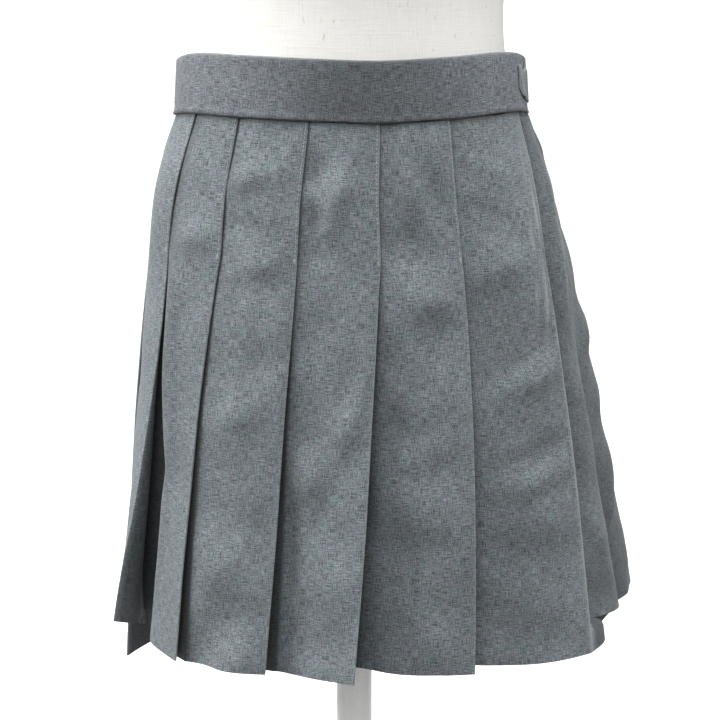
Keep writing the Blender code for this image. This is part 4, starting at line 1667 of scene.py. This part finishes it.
LEVELS = (
    Level(0.386, 0.0000, 0.1285, 0.0880, 0.0995),
    Level(0.392, 0.0000, 0.1315, 0.0900, 0.1025),
    Level(0.425, 0.0000, 0.1345, 0.0915, 0.1055),
    Level(0.460, 0.0000, 0.1325, 0.0915, 0.1032),
    Level(0.500, -0.001, 0.1240, 0.0905, 0.0955),
    Level(0.538, -0.002, 0.1149, 0.0894, 0.0873),
    Level(0.560, -0.001, 0.1085, 0.0880, 0.0860),
    Level(0.580, 0.0000, 0.1020, 0.0870, 0.0845),
    Level(0.617, 0.0000, 0.1005, 0.0870, 0.0835),
    Level(0.665, 0.0000, 0.1090, 0.0925, 0.0870),
    Level(0.710, 0.0000, 0.1240, 0.1030, 0.0930),
    Level(0.755, 0.0000, 0.1385, 0.1200, 0.0985),
    Level(0.795, 0.0000, 0.1460, 0.1180, 0.1020),
    Level(0.840, 0.0000, 0.1540, 0.1020, 0.1030),
    Level(0.885, 0.0000, 0.1640, 0.0880, 0.0990),
    Level(0.920, 0.0000, 0.1690, 0.0780, 0.0920),
    Level(0.945, 0.0000, 0.1600, 0.0690, 0.0820),
    Level(0.965, 0.0000, 0.1320, 0.0610, 0.0720),
    Level(0.981, 0.0000, 0.0960, 0.0550, 0.0630),
    Level(0.996, 0.0000, 0.0690, 0.0510, 0.0560),
    Level(1.015, 0.0000, 0.0590, 0.0490, 0.0520),
    Level(1.055, 0.0000, 0.0560, 0.0480, 0.0500),
)


@dataclass
class Torso:
    """The limbless form under its linen cover, seamed at the sides and down the back."""

    exponent: float = 2.15
    mean_radius: float = 0.11
    rows: int = 130
    columns: int = 120
    seams: tuple[float, ...] = (0.0, 90.0, 180.0)
    seam_offsets: tuple[float, ...] = (-1.2, -0.6, -0.3, 0.0, 0.3, 0.6, 1.2)
    seam_depth: float = 0.0007
    seam_width: float = 0.35

    def angles(self) -> list[float]:
        """Directions round the form in degrees, closer together at its seams."""
        found = set(np.linspace(0.0, TURN, self.columns, endpoint=False))
        for seam in self.seams:
            found.update((seam + offset) % TURN for offset in self.seam_offsets)
        return sorted(found)

    def build(self, name: str) -> bpy.types.Object:
        """Loft the torso through its levels and close both ends.

        Args:
            name: the object's name.

        Returns:
            The torso.
        """
        angles = self.angles()
        rows, uvs = [], []
        for z in np.linspace(LEVELS[0].z, LEVELS[-1].z, self.rows):
            names = ("centre_x", "half_width", "front", "back")
            centre_x, half_width, front, back = (smooth_table(LEVELS, "z", n, z) for n in names)
            row = []
            for degrees in angles:
                angle = math.radians(degrees)
                depth = back if math.sin(angle) > 0.0 else front
                reach = superellipse_radius(angle, half_width, depth, self.exponent)
                gap = min(abs((degrees - seam + 180.0) % TURN - 180.0) for seam in self.seams)
                reach -= self.seam_depth * bell(gap, self.seam_width)
                row.append((centre_x + reach * math.cos(angle), reach * math.sin(angle), z))
            rows.append(row)
            uvs.append([(math.radians(degrees) * self.mean_radius + 5.0, z) for degrees in angles])
        data = lofted_mesh(name, np.array(rows), np.array(uvs), closed=True)
        around = np.arange(len(angles))
        close_ends(data, (around[::-1], (self.rows - 1) * len(angles) + around))
        return new_object(name, data)


@dataclass
class FormFittings:
    """The turned neck cap with its knob, the pole and the base of the dress form."""

    cap_radius: float = 0.049
    base_radius: float = 0.150
    base_thickness: float = 0.010
    hub_radius: float = 0.024
    hub_height: float = 0.045
    pole_radius: float = 0.0125
    plate_thickness: float = 0.012
    flange: float = 0.010
    knob: float = 0.0095
    knob_height: float = 0.0205
    knob_neck: float = 0.007
    knob_foot: float = 0.014
    gap: float = 0.0003
    bevel: float = 0.0006
    segments: int = 96

    def build_cap(self, name: str) -> bpy.types.Object:
        """Turn the neck cap with its small knob."""
        foot = LEVELS[-1].z + self.gap
        cap = self.cap_radius
        profile = [(cap, foot), (cap, foot + 0.005), (cap * 0.93, foot + 0.0085), (cap * 0.75, foot + 0.011)]
        profile += [(self.knob_foot, foot + 0.014), (self.knob_neck, foot + 0.016)]
        for degrees in np.linspace(-40.0, 85.0, 8)[1:]:
            angle = math.radians(degrees)
            level = foot + self.knob_height + self.knob * math.sin(angle)
            profile.append((self.knob * math.cos(angle), level))
        return turned_piece(name, profile, self.segments, self.bevel)

    def build_pole(self, name: str) -> bpy.types.Object:
        """Turn the pole with its head flange."""
        foot = self.hub_height + self.gap
        head = LEVELS[0].z - self.plate_thickness - 2 * self.gap
        radius, wide = self.pole_radius, self.pole_radius + self.flange
        profile = [(radius, foot), (radius, head - 0.010), (wide, head - 0.006), (wide, head)]
        return turned_piece(name, profile, self.segments, self.bevel)

    def build_base(self, name: str) -> bpy.types.Object:
        """Turn the round base with its hub."""
        base, thick, hub, top = self.base_radius, self.base_thickness, self.hub_radius, self.hub_height
        profile = [
            (base - 0.002, 0.0),
            (base, 0.002),
            (base, thick - 0.004),
            (base - 0.004, thick),
            (hub + 0.008, thick + 0.001),
            (hub, thick + 0.008),
            (hub, top - 0.003),
            (hub - 0.003, top),
        ]
        return turned_piece(name, profile, self.segments * 2, 0.0008)


# ---------------------------------------------------------------------------------------
# Studio
# ---------------------------------------------------------------------------------------


@dataclass(frozen=True)
class Sun:
    """A distant light, its strength and the way it comes from."""

    name: str
    energy: float
    way: tuple[float, float, float]


@dataclass(frozen=True)
class Softbox:
    """A square light close by, its place, side and power, and what it points at."""

    name: str
    place: tuple[float, float, float]
    size: float
    power: float
    aim: tuple[float, float, float] = (0.0, 0.0, 0.45)


@dataclass
class Studio:
    """Camera at the photograph's angle, plain pale floor and soft light."""

    camera_place: tuple[float, float, float] = (0.0041, -1.50, 0.655)
    camera_tilt: float = 10.74
    lens: float = 110.25
    sensor: float = 36.0
    floor_size: float = 90.0
    clip_end: float = 200.0
    ambient: float = 0.42
    sun_angle: float = 26.0
    suns: tuple[Sun, ...] = (
        Sun("overhead", 2.7, (-0.05, -0.10, 1.0)),
        Sun("right_fill", 0.45, (0.80, -0.52, 0.28)),
        Sun("rear_fill", 0.90, (-0.10, 0.85, 0.50)),
    )
    softboxes: tuple[Softbox, ...] = (
        Softbox("left_softbox", (-1.35, -0.28, 1.15), 0.8, 23.0, (0.0, 0.0, 0.52)),
        Softbox("front_softbox", (-0.25, -1.15, 1.55), 0.8, 10.0, (0.0, 0.0, 0.58)),
        Softbox("right_softbox", (0.95, -0.35, 1.15), 0.5, 5.5, (0.05, 0.0, 0.75)),
    )
    bounce: float = 0.08

    def build(self) -> None:
        """Set the camera, the floor and the lights."""
        scene = bpy.context.scene
        camera = bpy.data.cameras.new("camera")
        camera.lens = self.lens
        camera.sensor_width = self.sensor
        camera.clip_end = self.clip_end
        view = bpy.data.objects.new("camera", camera)
        view.location = self.camera_place
        view.rotation_euler = (math.radians(90.0 - self.camera_tilt), 0.0, 0.0)
        scene.collection.objects.link(view)
        scene.camera = view
        self.build_floor()
        self.build_lights()
        scene.view_settings.view_transform = "Standard"
        scene.view_settings.look = "None"

    def build_floor(self) -> None:
        """Lay a large pale floor."""
        bpy.ops.object.select_all(action="DESELECT")
        bpy.ops.mesh.primitive_plane_add(size=self.floor_size)
        floor = added("studio_floor")
        material, n = new_material("pale_floor")
        place = n.add("ShaderNodeTexCoord").outputs["Object"]
        tone = n.ranged(n.noise(place, 3.0, 2.0, 0.5), (0.3, 0.7), (0.90, 0.93))
        colour = n.grey(tone)
        dim = n.blend(1.0, colour, (self.bounce,) * 3, "MULTIPLY")
        bounced = n.add("ShaderNodeLightPath").outputs["Is Diffuse Ray"]
        n.feed(shader_of(material), {"Base Color": n.blend(bounced, colour, dim), "Roughness": 0.9})
        floor.data.materials.append(material)

    def build_lights(self) -> None:
        """Light the scene from above on the photograph's left, with even light all round."""
        world = bpy.data.worlds.new("studio_light")
        world.use_nodes = True
        background = world.node_tree.nodes["Background"]
        background.inputs["Color"].default_value = (1.0, 1.0, 1.0, 1.0)
        background.inputs["Strength"].default_value = self.ambient
        bpy.context.scene.world = world
        for sun in self.suns:
            light = bpy.data.lights.new(sun.name, "SUN")
            light.energy = sun.energy
            light.angle = math.radians(self.sun_angle)
            self.hang(light, (0.0, 0.0, 0.0), Vector(sun.way))
        for box in self.softboxes:
            light = bpy.data.lights.new(box.name, "AREA")
            light.energy = box.power
            light.size = box.size
            self.hang(light, box.place, Vector(box.place) - Vector(box.aim))

    def hang(self, light: bpy.types.Light, place: tuple[float, float, float], way: Vector) -> None:
        """Put a light at a place, shining from the way it comes from."""
        lamp = bpy.data.objects.new(light.name, light)
        lamp.location = place
        lamp.rotation_euler = way.to_track_quat("Z", "Y").to_euler()
        bpy.context.scene.collection.objects.link(lamp)


# ---------------------------------------------------------------------------------------
# The whole object
# ---------------------------------------------------------------------------------------


def main() -> None:
    logging.basicConfig(level=logging.INFO, format="%(name)s %(message)s")
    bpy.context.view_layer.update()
    finishes = Wardrobe()
    tube = PleatedTube()
    halves = ((Side.FRONT, "front", "skirt_front", 0.82), (Side.BACK, "back", "skirt_back", 0.905))
    for side, label, node, cut_width in halves:
        cloth = PleatedCloth(tube, side)
        panel = settle(cloth.build(f"{label}_pleats"), finishes.suiting, [node])
        stitches = EdgeStitching(cloth).build(f"{label}_edge_stitching")
        settle(stitches, finishes.thread)
    band = Waistband(tube)
    belt = settle(band.build("waistband_cloth"), finishes.band, ["waistband"])
    strip = settle(ClosingTab(band).build("closing_tab"), finishes.band, ["waistband_tab"])
    zipper = SideZip(tube)
    settle(zipper.build_tape("zip_tape"), finishes.tape, ["side_zip"])
    settle(zipper.build_teeth("zip_teeth"), finishes.metal)
    settle(zipper.build_slider("zip_slider"), finishes.metal)
    torso = settle(Torso().build("torso_linen"), finishes.linen, ["form_body"])
    fittings = FormFittings()
    settle(fittings.build_cap("neck_cap"), finishes.wood, ["form_neck_cap"], 30.0)
    settle(fittings.build_pole("stand_pole"), finishes.paint, ["form_pole"], 30.0)
    settle(fittings.build_base("stand_base"), finishes.paint, ["form_base"], 30.0)
    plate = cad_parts["form_bottom_plate"]
    plate.data.materials.clear()
    plate.data.materials.append(finishes.wood)
    Studio().build()


if __name__ == "__main__":
    main()
